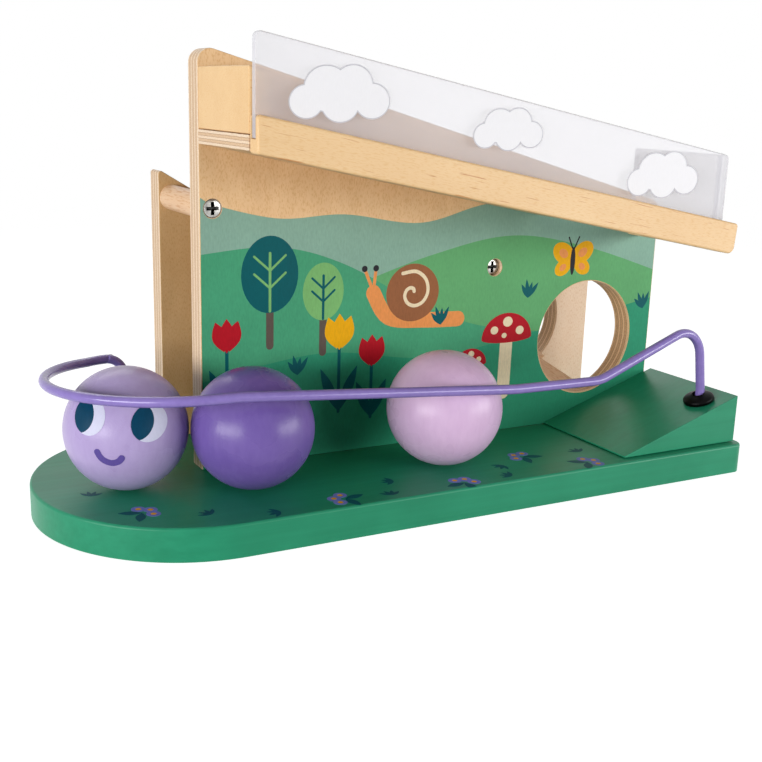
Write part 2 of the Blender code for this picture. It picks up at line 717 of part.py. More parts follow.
def beside_wire(height, gap):
    """How far from a ball's centre, in plan, a wire lies at a height above it and a gap away."""
    return sqrt((ball_radius+WIRE_DIAMETER/2+gap)**2-height**2)


# Loose balls in the lane: the head inside the nose, the next one against it, the last by the wire
head_reach = nose_radius-beside_wire(WIRE_NOSE_FRONT, HEAD_TO_WIRE)
head = Vector((nose_x+head_reach*cos(HEAD_BEARING), head_reach*sin(HEAD_BEARING), lane_ball_z))
purple_y = front_face-ball_radius-PURPLE_TO_PANEL
purple_x = head.x+sqrt((BALL_DIAMETER+BALL_TOUCH)**2-(purple_y-head.y)**2)
purple = Vector((purple_x, purple_y, lane_ball_z))
pink_x = wedge_left-PINK_TO_WEDGE
run_share = (wire_run.x-pink_x)/(wire_run.x-nose_x)
wire_over_pink = WIRE_RUN_START+(WIRE_NOSE_FRONT-WIRE_RUN_START)*run_share
pink = Vector((pink_x, wire_y+beside_wire(wire_over_pink, PINK_TO_WIRE), lane_ball_z))
ball("ball_head", LILAC_PAINT, head)
ball("ball_purple", PURPLE_PAINT, purple)
ball("ball_pink", PINK_PAINT, pink)
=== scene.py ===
from math import acos, atan, cos, pi, radians, sin, sqrt, tan

import bmesh
import bpy
from mathutils import Matrix, Vector, noise
from mathutils.geometry import delaunay_2d_cdt


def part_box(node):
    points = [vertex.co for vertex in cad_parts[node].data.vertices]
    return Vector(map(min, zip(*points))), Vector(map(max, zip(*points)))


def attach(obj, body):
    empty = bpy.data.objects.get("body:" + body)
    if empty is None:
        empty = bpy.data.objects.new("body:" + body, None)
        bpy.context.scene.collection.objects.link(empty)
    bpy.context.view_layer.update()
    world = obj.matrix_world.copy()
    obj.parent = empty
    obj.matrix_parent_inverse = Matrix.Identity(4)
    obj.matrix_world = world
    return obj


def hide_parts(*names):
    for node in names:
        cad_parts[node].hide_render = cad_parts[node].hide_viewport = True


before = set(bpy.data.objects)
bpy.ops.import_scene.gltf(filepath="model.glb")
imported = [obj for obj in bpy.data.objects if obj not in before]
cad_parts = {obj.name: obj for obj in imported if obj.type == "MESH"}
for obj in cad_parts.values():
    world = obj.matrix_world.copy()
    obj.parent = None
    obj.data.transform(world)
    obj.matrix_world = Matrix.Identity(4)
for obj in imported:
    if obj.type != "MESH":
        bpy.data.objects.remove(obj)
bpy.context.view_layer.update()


# Base board: one solid wooden board, sawn with a round end and a square one, its edges eased with a
# router, then sprayed satin green. Everything else stands on it, held by screws from below.
GREEN = (36, 142, 105)
GREEN_DEEP = (29, 132, 96)
BASE_CORNER = 0.005
BASE_EASE = 0.0011
PAINT_GRAIN = 420
PAINT_BLOTCH = 38
NOISE_RANGE = (0.3, 0.7)
RELIEF = 0.0002
SHARP_FROM = radians(50)
EASED_FROM = radians(40)
ROUND_STEPS = 40
CUT_PAST = 0.002
WIRE_HOLE = 0.0022
WIRE_HOLE_DEPTH = 0.010
WIRE_HOLE_STEPS = 24
SCREW_CLEARANCE = 0.0003
SCREW_RIM = 0.0005
SHANK = 0.00175
TRAY_SHANK = 0.00125
UP = (0, 0, 1)
BACK = (0, 1, 0)
FORWARD = (0, -1, 0)
SCREWS = {"front_foot_screw": (3, UP, SHANK), "rear_foot_screw": (3, UP, SHANK),
          "wedge_screw": (2, UP, SHANK), "ramp_screw": (2, UP, SHANK),
          "front_dowel_screw": (2, BACK, SHANK), "rear_dowel_screw": (2, FORWARD, SHANK),
          "tray_screw": (4, FORWARD, TRAY_SHANK)}


def srgb(red, green, blue):
    """A display colour, 0 to 255, as the linear colour that a shader takes."""
    def linear(value):
        share = value/255
        return share/12.92 if share <= 0.04045 else ((share+0.055)/1.055)**2.4
    return (linear(red), linear(green), linear(blue), 1)


def add(tree, kind, inputs, **settings):
    """Adds a shader node; an input is a value or another node's output."""
    made = tree.nodes.new(kind)
    for name, value in settings.items():
        setattr(made, name, value)
    for name, value in inputs.items():
        if isinstance(value, bpy.types.NodeSocket):
            tree.links.new(value, made.inputs[name])
        else:
            made.inputs[name].default_value = value
    return made


def start(name):
    """A new node material: itself, its tree, its shader and the piece's own coordinates."""
    material = bpy.data.materials.new(name)
    material.use_nodes = True
    tree = material.node_tree
    here = add(tree, "ShaderNodeTexCoord", {}).outputs["Object"]
    return material, tree, tree.nodes["Principled BSDF"], here


def maths(tree, operation, *values):
    return add(tree, "ShaderNodeMath", dict(enumerate(values)), operation=operation).outputs[0]


def cloudy(tree, here, scale, detail=3, stretch=(1, 1, 1), turn=(0, 0, 0)):
    """Soft noise, drawn out along an axis where the stretch is small, then turned."""
    placed = add(tree, "ShaderNodeMapping", {
        "Vector": here, "Scale": [1/share for share in stretch], "Rotation": turn}, vector_type="TEXTURE")
    made = add(tree, "ShaderNodeTexNoise", {
        "Vector": placed.outputs["Vector"], "Scale": scale, "Detail": detail, "Roughness": 0.55})
    return made.outputs["Fac"]


def ramp(tree, factor, *stops):
    """Colours along a factor; each stop is (place, display colour)."""
    made = add(tree, "ShaderNodeValToRGB", {"Fac": factor})
    elements = made.color_ramp.elements
    while len(elements) < len(stops):
        elements.new(0.5)
    for element, (place, colour) in zip(elements, stops):
        element.position = place
        element.color = srgb(*colour)
    return made.outputs["Color"]


def rescale(tree, value, source, target=(0, 1)):
    """Carries a value over from one range, low to high, to another."""
    return add(tree, "ShaderNodeMapRange", {
        "Value": value, "From Min": source[0], "From Max": source[1], "To Min": target[0],
        "To Max": target[1]}).outputs["Result"]


def halfway(tree, one, other):
    return maths(tree, "MULTIPLY", maths(tree, "ADD", one, other), 0.5)


def surface(tree, shader, colour, speckle, roughness, gloss=0.5):
    """Gives a shader its colour, its roughness, which follows a noise, and its gloss."""
    tree.links.new(colour, shader.inputs["Base Color"])
    tree.links.new(rescale(tree, speckle, NOISE_RANGE, roughness), shader.inputs["Roughness"])
    shader.inputs["Specular IOR Level"].default_value = gloss


def bump(tree, shader, height, strength, distance=RELIEF):
    made = add(tree, "ShaderNodeBump", {"Height": height, "Strength": strength, "Distance": distance})
    tree.links.new(made.outputs["Normal"], shader.inputs["Normal"])


def paint(name, bright, deep, stretch, roughness=(0.32, 0.44), pit=1400, gloss=0.25, peel=0.10):
    """Sprayed satin paint: cloudy colour, the wood's grain just showing through, a fine orange peel."""
    material, tree, shader, here = start(name)
    grain = cloudy(tree, here, PAINT_GRAIN, 4, stretch)
    blotch = cloudy(tree, here, PAINT_BLOTCH)
    colour = ramp(tree, halfway(tree, grain, blotch), (0.38, deep), (0.62, bright))
    surface(tree, shader, colour, blotch, roughness, gloss)
    bump(tree, shader, maths(tree, "ADD", cloudy(tree, here, pit, 2), grain), peel)
    return material


def bend(before, here, after, radius, steps, fewest):
    """The corner at here, turned into an arc, or left as it is if it has no radius; steps go to a right
    angle."""
    if radius == 0:
        return [here]
    back = (before-here).normalized()
    on = (after-here).normalized()
    half = back.angle(on)/2
    centre = here+(back+on).normalized()*radius/sin(half)
    first = here+back*radius/tan(half)-centre
    turn = pi-2*half
    count = max(fewest, round(steps*turn/(pi/2)))
    return [centre+Matrix.Rotation(-turn*step/count, 3, back.cross(on)) @ first for step in range(count+1)]


def rounded(corners, steps=16):
    """An outline through corners (u, v, radius), with an arc at each one that has a radius."""
    places = [Vector((u, v, 0)) for u, v, _ in corners]
    nexts = places[1:]+places[:1]
    outline = []
    for index, (here, after) in enumerate(zip(places, nexts)):
        outline += bend(places[index-1], here, after, corners[index][2], steps, 3)
    return [p for i, p in enumerate(outline) if (p-outline[i-1]).length > 1e-6]


def prism(outline, across, low, high):
    """A new bmesh of an outline's prism; across is the axis it runs along, from low to high."""
    def place(point, depth):
        u, v = point[0], point[1]
        return {"x": (depth, u, v), "y": (u, depth, v), "z": (u, v, depth)}[across]
    bm = bmesh.new()
    face = bm.faces.new([bm.verts.new(place(p, low)) for p in outline])
    raised = bmesh.ops.extrude_face_region(bm, geom=[face])["geom"]
    moved = [v for v in raised if isinstance(v, bmesh.types.BMVert)]
    bmesh.ops.translate(bm, vec=place((0, 0), high-low), verts=moved)
    return bm


def add_turned(bm, profile, steps, matrix):
    """Adds a profile of (radius, height) turned round its own Z axis, then placed by the matrix."""
    chain = [bm.verts.new((radius, 0, height)) for radius, height in profile]
    edges = [bm.edges.new(pair) for pair in zip(chain, chain[1:])]
    before = set(bm.verts)-set(chain)
    bmesh.ops.spin(bm, geom=chain+edges, cent=(0, 0, 0), axis=(0, 0, 1), angle=2*pi, steps=steps,
                   use_merge=True)
    bmesh.ops.remove_doubles(bm, verts=[v for v in bm.verts if v not in before], dist=1e-7)
    bmesh.ops.transform(bm, matrix=matrix, verts=[v for v in bm.verts if v not in before])


def along(start_point, direction):
    """Places a shape made on the Z axis so that it starts at a point and runs along a direction."""
    turn = Vector(direction).to_track_quat("Z", "Y").to_matrix().to_4x4()
    return Matrix.Translation(start_point) @ turn


def add_bore(bm, radius, depth, steps, matrix):
    """Adds a round bar to cut a plain hole with."""
    add_turned(bm, [(0, depth), (radius, depth), (radius, 0), (0, 0)], steps, matrix)


def mesh_of(name, bm):
    """Turns a bmesh into a mesh, its faces pointing out, smooth but for its sharp edges."""
    bmesh.ops.recalc_face_normals(bm, faces=bm.faces)
    mesh = bpy.data.meshes.new(name)
    bm.to_mesh(mesh)
    bm.free()
    mesh.shade_smooth()
    mesh.set_sharp_from_angle(angle=SHARP_FROM)
    return mesh


def put(name, data):
    """Puts a mesh, a curve, a lamp or a camera in the scene."""
    made = bpy.data.objects.new(name, data)
    bpy.context.scene.collection.objects.link(made)
    return made


def piece(name, bm, materials, stands_for=(), body="run"):
    """Puts a mesh in the scene as one piece of the object, riding on a body."""
    made = put(name, mesh_of(name, bm))
    for material in materials if isinstance(materials, list) else [materials]:
        made.data.materials.append(material)
    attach(made, body)
    if stands_for:
        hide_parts(*stands_for)
    return made


def settle(made):
    """Applies a piece's modifier to its mesh, then shades its flat faces flat and its rounds smooth."""
    graph = bpy.context.evaluated_depsgraph_get()
    graph.update()
    mesh = bpy.data.meshes.new_from_object(made.evaluated_get(graph))
    made.modifiers.clear()
    made.data = mesh
    mesh.set_sharp_from_angle(angle=SHARP_FROM)
    flat = made.modifiers.new("flat", "WEIGHTED_NORMAL")
    flat.keep_sharp = True


def ease(made, width, segments=3, foot=-1.0):
    """Rounds a piece's sharp edges, but for those at its foot, where it stands on another piece."""
    bm = bmesh.new()
    bm.from_mesh(made.data)
    weights = [edge.is_manifold and edge.calc_face_angle() > EASED_FROM
               and max(v.co.z for v in edge.verts) > foot for edge in bm.edges]
    bm.free()
    marks = made.data.attributes.new("bevel_weight_edge", "FLOAT", "EDGE")
    marks.data.foreach_set("value", weights)
    made.modifiers.clear()
    bevel = made.modifiers.new("eased", "BEVEL")
    bevel.width = width
    bevel.segments = segments
    bevel.limit_method = "WEIGHT"
    settle(made)


def drill(made, bm, lining=None):
    """Cuts a bmesh's shapes out of a piece; a lining is the finish of the new walls."""
    tool = put("drill", mesh_of("drill", bm))
    tool.data.materials.append(lining or made.data.materials[0])
    made.modifiers.clear()
    cut = made.modifiers.new("drilled", "BOOLEAN")
    cut.object = tool
    cut.solver = "EXACT"
    cut.material_mode = "TRANSFER"
    settle(made)
    bpy.data.objects.remove(tool)


def numbered(*groups):
    """The names of all the screws in some groups."""
    return [f"{group}_{number}" for group in groups for number in range(1, SCREWS[group][0]+1)]


def screw_sizes(name):
    """A screw of the frame: its head's middle, the way it is driven, its head, its shank and its length."""
    low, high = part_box(name)
    _, drive, shank = SCREWS[name.rpartition("_")[0]]
    half = (high-low)/2
    drive = Vector(drive)
    reach = abs(half.dot(drive))
    return (low+high)/2-drive*reach, drive, sorted(half)[1], shank, 2*reach


def add_screw_holes(bm, names, counterbore=0.0):
    """Adds countersunk holes round screws of the frame, open past the faces that their heads sit in."""
    for name in names:
        head, drive, radius, shank, length = screw_sizes(name)
        wide = radius+SCREW_CLEARANCE
        slim = shank+SCREW_CLEARANCE
        out = counterbore+CUT_PAST
        end = -length-SCREW_CLEARANCE
        add_turned(bm, [(0, out), (wide, out), (wide, -SCREW_RIM), (slim, -SCREW_RIM-wide+slim),
                        (slim, end), (0, end)], ROUND_STEPS, along(head, -drive))


def add_wire_hole(bm, x, y, seat):
    """Adds the hole for a foot of the wire, open past the face that it goes into at its seat."""
    add_bore(bm, WIRE_HOLE, 2*WIRE_HOLE_DEPTH, WIRE_HOLE_STEPS,
             Matrix.Translation((x, y, seat-WIRE_HOLE_DEPTH)))


base_low, base_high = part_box("base_board")
base_half = (base_high.y-base_low.y)/2
base_bushing_low, base_bushing_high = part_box("base_bushing")
wire_back_foot = (base_bushing_low+base_bushing_high)/2
green_paint = paint("green_paint", GREEN, GREEN_DEEP, (0.03, 1, 1))
outline = rounded([
    (base_low.x, base_low.y, base_half), (base_high.x, base_low.y, BASE_CORNER),
    (base_high.x, base_high.y, BASE_CORNER), (base_low.x, base_high.y, base_half)], ROUND_STEPS)
base = piece("painted_base", prism(outline, "z", base_low.z, base_high.z), green_paint,
             ["base_board"])
ease(base, BASE_EASE, 4, base_low.z)
holes = bmesh.new()
add_screw_holes(holes, numbered("front_foot_screw", "rear_foot_screw", "wedge_screw", "ramp_screw"))
add_wire_hole(holes, wire_back_foot.x, wire_back_foot.y, base_high.z)
drill(base, holes)


# Landing wedge: a block of wood planed to a slope and sprayed the same green. It is screwed on from
# below at the end of the ball lane, and its high end holds one foot of the wire.
WEDGE_TOE = 0.0006
WEDGE_EASE = 0.0007
WIRE_FOOT_FROM_END = 0.0147
WIRE_FOOT_FROM_FRONT = 0.0146
wedge_low, wedge_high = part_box("landing_wedge")
wedge_rise = (wedge_high.z-wedge_low.z-WEDGE_TOE)/(wedge_high.x-wedge_low.x)
wire_foot_x = base_high.x-WIRE_FOOT_FROM_END
wire_foot_y = base_low.y+WIRE_FOOT_FROM_FRONT
wire_foot_seat = wedge_low.z+WEDGE_TOE+(wire_foot_x-wedge_low.x)*wedge_rise
outline = [(wedge_low.x, wedge_low.z), (wedge_high.x, wedge_low.z), (wedge_high.x, wedge_high.z),
           (wedge_low.x, wedge_low.z+WEDGE_TOE)]
wedge = piece("painted_wedge", prism(outline, "y", wedge_low.y, wedge_high.y), green_paint,
              ["landing_wedge"])
ease(wedge, WEDGE_EASE)
holes = bmesh.new()
add_screw_holes(holes, numbered("wedge_screw"))
add_wire_hole(holes, wire_foot_x, wire_foot_y, wire_foot_seat)
drill(wedge, holes)


# Prints on the base: small sprigs of berries and tufts of grass, pad-printed in lilac, yellow and dark
# teal inks on the green paint of the ball lane.
LILAC_INK = (118, 130, 200)
YELLOW_INK = (236, 172, 12)
TEAL_INK = (12, 86, 92)
SPRIGS = [(-0.116, -0.036, 0.4), (-0.044, -0.0520, 2.6), (0.006, -0.0545, 0.9), (0.046, -0.037, 2.1),
          (0.066, -0.0535, 0.2)]
TUFTS = [(-0.128, -0.012, 0.3), (-0.094, -0.047, 1.2), (-0.071, -0.0545, 2.2), (-0.026, -0.0555, 0.6),
         (-0.018, -0.042, 1.9), (0.028, -0.0550, 1.4), (0.032, -0.043, 2.7), (0.072, -0.041, 0.8)]
BERRY = 0.0026
BERRY_EYE = 0.00104
BERRY_OUT = 0.00416
BERRY_TURNS = (-1.0, 0.1, 1.2)
SPRIG_LEAF = (0.0085, 0.0036)
SPRIG_LEAF_TURN = 0.75
GRASS_BLADE = (0.0052, 0.0016)
GRASS_FAN = 0.6
INK_GRAIN = 1500
INK_WASH = 30
INK_GLOSS = 0.08
INK_RELIEF = 0.0001
FILM = 0.00006
FILM_BACK = 0.00001


def ink(name, colour, shade=0.92):
    """Printed ink: a thin colour that lets a little of the wood's figure through."""
    material, tree, shader, here = start(name)
    grain = cloudy(tree, here, INK_GRAIN, 3, (1, 1, 0.3))
    wash = cloudy(tree, here, INK_WASH)
    deep = [value*shade for value in colour]
    tint = ramp(tree, halfway(tree, grain, wash), (0.36, deep), (0.60, colour))
    surface(tree, shader, tint, wash, (0.38, 0.50), INK_GLOSS)
    bump(tree, shader, grain, 0.08, INK_RELIEF)
    return material


def oval(u, v, across, up, turn=0.0, steps=40):
    """An ellipse's outline."""
    points = []
    for step in range(steps):
        a = across*cos(2*pi*step/steps)
        b = up*sin(2*pi*step/steps)
        points.append((u+a*cos(turn)-b*sin(turn), v+a*sin(turn)+b*cos(turn)))
    return points


def leaf(u, v, size, angle, steps=12):
    """A pointed leaf's outline, from its stalk at (u, v) out along an angle; size is length and width."""
    points = []
    for side in (1, -1):
        for step in range(steps):
            share = step/steps if side == 1 else 1-step/steps
            a = size[0]*share
            b = side*size[1]/2*sin(pi*share)
            points.append((u+a*cos(angle)+b*sin(angle), v+a*sin(angle)-b*cos(angle)))
    return points


def anticlockwise(outline):
    area = sum(a[0]*b[1]-b[0]*a[1] for a, b in zip(outline, outline[1:]+outline[:1]))
    return outline if area > 0 else outline[::-1]


def film(name, region, gaps, shapes, lay, inks, ground=None, body="run", grid=()):
    """A printed film: shapes (ink, outline) drawn in order inside a region and outside its gaps.
    lay(u, v, depth) gives a point's place, and ground is the ink where there is no shape."""
    points, rings = [], []
    for outline in [region]+gaps+[outline for _, outline in shapes]:
        rings.append(list(range(len(points), len(points)+len(outline))))
        points += [Vector(p) for p in anticlockwise(list(outline))]
    points += [Vector(p) for p in grid]
    flat, _, triangles, _, _, owners = delaunay_2d_cdt(points, [], rings, 1, 1e-7)
    first = 1+len(gaps)
    bm = bmesh.new()
    sides = [[bm.verts.new(lay(p.x, p.y, depth)) for p in flat] for depth in (FILM, FILM_BACK)]
    number = {v: i for i, v in enumerate(sides[0])}
    for triangle, owner in zip(triangles, owners):
        top = max(owner, default=0)
        shown = shapes[top-first][0] if top >= first else ground
        if shown is None or 0 not in owner or any(0 < o < first for o in owner):
            continue
        for side in sides:
            bm.faces.new([side[i] for i in triangle]).material_index = inks.index(shown)
    for edge in [e for e in bm.edges if e.is_boundary and e.verts[0] in number]:
        a, b = (number[v] for v in edge.verts)
        shown = edge.link_faces[0].material_index
        bm.faces.new([sides[0][a], sides[0][b], sides[1][b], sides[1][a]]).material_index = shown
    bmesh.ops.delete(bm, geom=[v for v in bm.verts if not v.link_faces], context="VERTS")
    return piece(name, bm, inks, body=body)


lilac_ink = ink("lilac_ink", LILAC_INK)
yellow_ink = ink("yellow_ink", YELLOW_INK)
teal_ink = ink("teal_ink", TEAL_INK)
shapes = []
for x, y, turn in SPRIGS:
    for side in (-SPRIG_LEAF_TURN, SPRIG_LEAF_TURN):
        shapes.append((teal_ink, leaf(x, y, SPRIG_LEAF, turn+pi+side)))
    for swing in BERRY_TURNS:
        middle = (x+BERRY_OUT*cos(turn+swing), y+BERRY_OUT*sin(turn+swing))
        shapes.append((lilac_ink, oval(*middle, BERRY, BERRY)))
        shapes.append((yellow_ink, oval(*middle, BERRY_EYE, BERRY_EYE)))
for x, y, turn in TUFTS:
    for blade in range(4):
        shapes.append((teal_ink, leaf(x, y, GRASS_BLADE, turn+GRASS_FAN*blade)))
lane = [(base_low.x, base_low.y), (base_high.x, base_low.y), (base_high.x, 0), (base_low.x, 0)]
film("base_print", lane, [], shapes, lambda x, y, depth: (x, y, base_high.z+depth),
     [lilac_ink, yellow_ink, teal_ink])


# Rear panel: birch plywood, sawn to a sweep and drilled with one ball hole, its faces lacquered and its
# edges left bare, so the plies show; its veneer is painted paler towards the right, as light from that side.
# Three screws from below hold it, and two more hold the dowels.
BIRCH = [(238, 199, 149), (228, 187, 136)]
# Painted light: darker veneer tones for the rear panel's left end and paler ones for its right end, standing
# in for light from the right.
REAR_BIRCH_SHADED = [(218, 182, 131), (208, 171, 119)]
REAR_BIRCH_LIT = [(246, 220, 192), (240, 211, 181)]
BIRCH_PORE = (241, 230, 213)
EDGE_PLIES = [(243, 222, 196), (226, 196, 160), (206, 168, 128), (176, 136, 108)]
# Painted shade: darker copies of the ply tones, for the walls inside the ball holes.
SHADED_HOLE_PLIES = [(228, 194, 152), (204, 168, 124), (176, 136, 98), (136, 100, 74)]
# The span along X over which the painted light goes from the left tones to the right ones.
PAINTED_LIGHT_SPAN = (-0.03, 0.08)
WHITE = (255, 255, 255)
WOOD_BLOTCH = 22
VENEER_PORES = 2300
END_GRAIN = 1900
PLY_WANDER = (260, -0.08, 0.08)
GLUE_SHARE = 0.12
PANEL_PLIES = 7
PANEL_EASE = 0.0004
PANEL_CORNER = 0.005
HOLE_RADIUS = 0.0255
HOLE_STEPS = 96
HOLE_SILL = 0.0131
HOLE_TO_EDGE = 0.0369
REAR_HOLE_SHIFT = -0.0051
REAR_TOP_RIGHT = 0.086
REAR_TOP_LEFT = 0.1128
REAR_FALL = radians(30.5)
REAR_SWEEP = 0.020
REAR_CORNER = 0.0012


def mixed(tree, factor, one, other, blend_type="MIX"):
    """Mixes two colours; a factor of 0 gives the first."""
    return add(tree, "ShaderNodeMix", {0: factor, 6: one, 7: other}, data_type="RGBA",
               blend_type=blend_type).outputs[2]


def dot(tree, vector, direction):
    return add(tree, "ShaderNodeVectorMath", {0: vector, 1: direction},
               operation="DOT_PRODUCT").outputs["Value"]


def wood(tree, here, stretch, tones, pore, turn=(0, 0, 0), bands=150, pores=1500):
    """Wood's figure, drawn out along the grain: soft bands and fine pore lines. Gives colour and pores.
    The tones, pale and dark, are linear colours or other nodes' outputs."""
    band = cloudy(tree, here, bands, 4, stretch, turn)
    line = cloudy(tree, here, pores, 3, stretch, turn)
    figure = rescale(tree, halfway(tree, band, cloudy(tree, here, WOOD_BLOTCH)), (0.36, 0.60))
    ground = mixed(tree, figure, tones[1], tones[0])
    flecks = ramp(tree, line, (0.34, pore), (0.50, WHITE))
    return mixed(tree, 1.0, ground, flecks, "MULTIPLY"), line


def plywood(name, across, low, thickness, plies, tones=EDGE_PLIES, left=BIRCH, right=BIRCH):
    """Birch plywood: veneer on its two faces; end grain of the plies and glue lines on its edges.
    across is the sheet's normal, low is where the sheet starts along it, the tones of an edge go from
    its palest ply to its glue, and the veneer goes from its left tones to its right ones: painted light
    where they differ, darker at the left and paler at the right as if lit from the right."""
    material, tree, shader, here = start(name)
    light, middle, deep, glue_line = tones
    # Painted light: the veneer's tones shift from left to right along X, so that one end looks lit.
    painted_light = rescale(tree, dot(tree, here, (1, 0, 0)), PAINTED_LIGHT_SPAN)
    veneer = [mixed(tree, painted_light, srgb(*a), srgb(*b)) for a, b in zip(left, right)]
    face, pores = wood(tree, here, (1, 1, 0.35), veneer, BIRCH_PORE, pores=VENEER_PORES)
    depth = rescale(tree, dot(tree, here, across), (low, low+thickness), (0, plies))
    wander = rescale(tree, cloudy(tree, here, PLY_WANDER[0]), NOISE_RANGE, PLY_WANDER[1:])
    ply = maths(tree, "ADD", depth, wander)
    odd = maths(tree, "MODULO", maths(tree, "FLOOR", ply), 2.0)
    end_grain = cloudy(tree, here, END_GRAIN)
    pale_ply = ramp(tree, end_grain, (0.32, middle), (0.58, light))
    deep_ply = ramp(tree, end_grain, (0.32, deep), (0.62, middle))
    glue = ramp(tree, maths(tree, "FRACT", ply), (0, glue_line), (GLUE_SHARE, WHITE), (1-GLUE_SHARE, WHITE),
                (1, glue_line))
    edge = mixed(tree, 1.0, mixed(tree, odd, pale_ply, deep_ply), glue, "MULTIPLY")
    normal = add(tree, "ShaderNodeNewGeometry", {}).outputs["True Normal"]
    on_face = maths(tree, "GREATER_THAN", maths(tree, "ABSOLUTE", dot(tree, normal, across)), 0.8)
    surface(tree, shader, mixed(tree, on_face, edge, face), pores, (0.62, 0.48))
    bump(tree, shader, pores, 0.15)
    return material


def panel(side, top, hole_at, screw_holes, left=BIRCH, right=BIRCH):
    """A sheet of the tower: sawn square at its foot and to corners (x, height over the base, radius) at its
    top, then drilled for the ball, eased and drilled for its screws."""
    low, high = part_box(f"{side}_panel")
    sheet = (BACK, low.y, high.y-low.y, PANEL_PLIES)
    corners = [(x, base_high.z+height, radius) for x, height, radius in top]
    outline = rounded([(low.x, low.z, 0), (high.x, low.z, 0), *corners])
    veneer = plywood(f"{side}_plywood", *sheet, EDGE_PLIES, left, right)
    made = piece(f"{side}_sheet", prism(outline, "y", low.y, high.y), veneer, [f"{side}_panel"])
    bore = bmesh.new()
    add_bore(bore, HOLE_RADIUS, high.y-low.y+2*CUT_PAST, HOLE_STEPS,
             along((hole_at, low.y-CUT_PAST, hole_z), BACK))
    # The ball hole's wall takes the darker plies, painted shade inside the hole.
    drill(made, bore, plywood(f"{side}_shaded_hole_plies", *sheet, SHADED_HOLE_PLIES))
    ease(made, PANEL_EASE, 2, low.z)
    drill(made, screw_holes)


rear_low, rear_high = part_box("rear_panel")
hole_z = base_high.z+HOLE_SILL+HOLE_RADIUS
hole_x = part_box("front_panel")[1].x-HOLE_TO_EDGE
fall_end = rear_low.x+(REAR_TOP_LEFT-REAR_TOP_RIGHT)/tan(REAR_FALL)
holes = bmesh.new()
add_screw_holes(holes, numbered("rear_foot_screw", "rear_dowel_screw"))
# The rear sheet is painted shaded at its left and lit at its right.
panel("rear", [(rear_high.x, REAR_TOP_RIGHT, PANEL_CORNER), (fall_end, REAR_TOP_RIGHT, REAR_SWEEP),
               (rear_low.x, REAR_TOP_LEFT, REAR_CORNER)],
      hole_x+REAR_HOLE_SHIFT, holes, REAR_BIRCH_SHADED, REAR_BIRCH_LIT)


# Front panel: the same plywood, taller, its top edge falling with the tray that it carries. It has the
# front ball hole, three foot screws, four screws to the tray and two to the dowels, one of them sunk.
FRONT_TOP_LEFT = 0.160
FRONT_TOP_RIGHT = 0.098
COUNTERBORE = 0.0022
front_low, front_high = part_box("front_panel")
holes = bmesh.new()
add_screw_holes(holes, [*numbered("front_foot_screw", "tray_screw"), "front_dowel_screw_1"])
add_screw_holes(holes, ["front_dowel_screw_2"], COUNTERBORE)
panel("front", [(front_high.x, FRONT_TOP_RIGHT, PANEL_CORNER), (front_low.x, FRONT_TOP_LEFT, PANEL_CORNER)],
      hole_x, holes)


# Print on the front panel: a plain garden with hills, trees, tulips, toadstools, a snail and a butterfly,
# screen-printed on the veneer up to a wavy edge, above which the wood is bare.
PANEL_INKS = {"sky": (139, 178, 160), "light_hill": (100, 170, 112), "middle_hill": (72, 160, 119),
              "dark_hill": (48, 150, 114), "leaf": (4, 90, 96), "bush": (124, 184, 112),
              "trunk": (94, 82, 74), "shell": (150, 96, 62), "snail": (233, 150, 84),
              "cream": (240, 222, 186), "red": (182, 20, 36), "dark": (38, 36, 42)}
PRINT_MARGIN = 0.0004
SKY_EDGE = [(-0.085, 0.1180), (-0.050, 0.1095), (-0.020, 0.1100), (0.015, 0.1055), (0.050, 0.1125),
            (0.090, 0.1080), (0.145, 0.1000)]
LIGHT_HILL = [(-0.085, 0.070), (-0.030, 0.078), (0.020, 0.092), (0.060, 0.0985), (0.100, 0.092),
              (0.145, 0.078)]
MIDDLE_HILL = [(-0.085, 0.0965), (-0.050, 0.0985), (-0.020, 0.0905), (0.020, 0.070), (0.060, 0.058),
               (0.145, 0.050)]
DARK_HILL = [(-0.085, 0.047), (-0.030, 0.055), (0.020, 0.049), (0.070, 0.055), (0.145, 0.068)]
TREES = [(-0.0520, 0.0880, 0.0120, 0.0150, "leaf", "bush"), (-0.0290, 0.0800, 0.0090, 0.0115, "bush", "leaf")]
TREE_PENS = (0.0032, 0.0011, 0.0009)
TREE_FOOT = 0.013
TULIPS = [(-0.0215, 0.0585, 0.0110, "yellow", 0.030), (-0.0065, 0.0500, 0.0100, "red", 0.026),
          (-0.0700, 0.0610, 0.0100, "red", 0.036)]
STEM_PEN = 0.0014
TULIP_LEAF = 0.0045
TOADSTOOLS = [(0.0600, 0.030, 0.024, 0.0130), (0.0420, 0.030, 0.014, 0.0080)]
TOADSTOOL_LEAN = 0.0004
TOADSTOOL_SPOTS = [(-0.5, 0.30, 0.15), (0.02, 0.56, 0.19), (0.52, 0.24, 0.16), (-0.1, 0.10, 0.10)]
SNAIL = Vector((0.012, 0.0770))
SNAIL_BODY = [(0.0225, -0.0125), (0.006, -0.0118), (-0.0110, -0.0095), (-0.0185, 0.0010)]
SNAIL_PEN = 0.0066
SNAIL_NECK = (-0.0185, 0.0015)
SNAIL_EYES = [(-0.0227, 0.0110), (-0.0175, 0.0110)]
SNAIL_EYE = 0.0013
SHELL = (0.0125, 0.0120)
COIL_STEP = (0.7, 0.0008)
COIL_PEN = 0.0015
BUTTERFLY = Vector((0.0930, 0.0860))
BUTTERFLY_BODY = (0.0013, 0.0062)
WINGS = [(0.0052, 0.003596, 0.55, (0.0062, 0.0044)), (0.0052, -0.00261, -0.55, (0.0046, 0.0034))]
WING_SPOT = 0.42
FEELER = [(0, 0.0045), (0.0028, 0.0105)]
FEELER_PEN = 0.0007
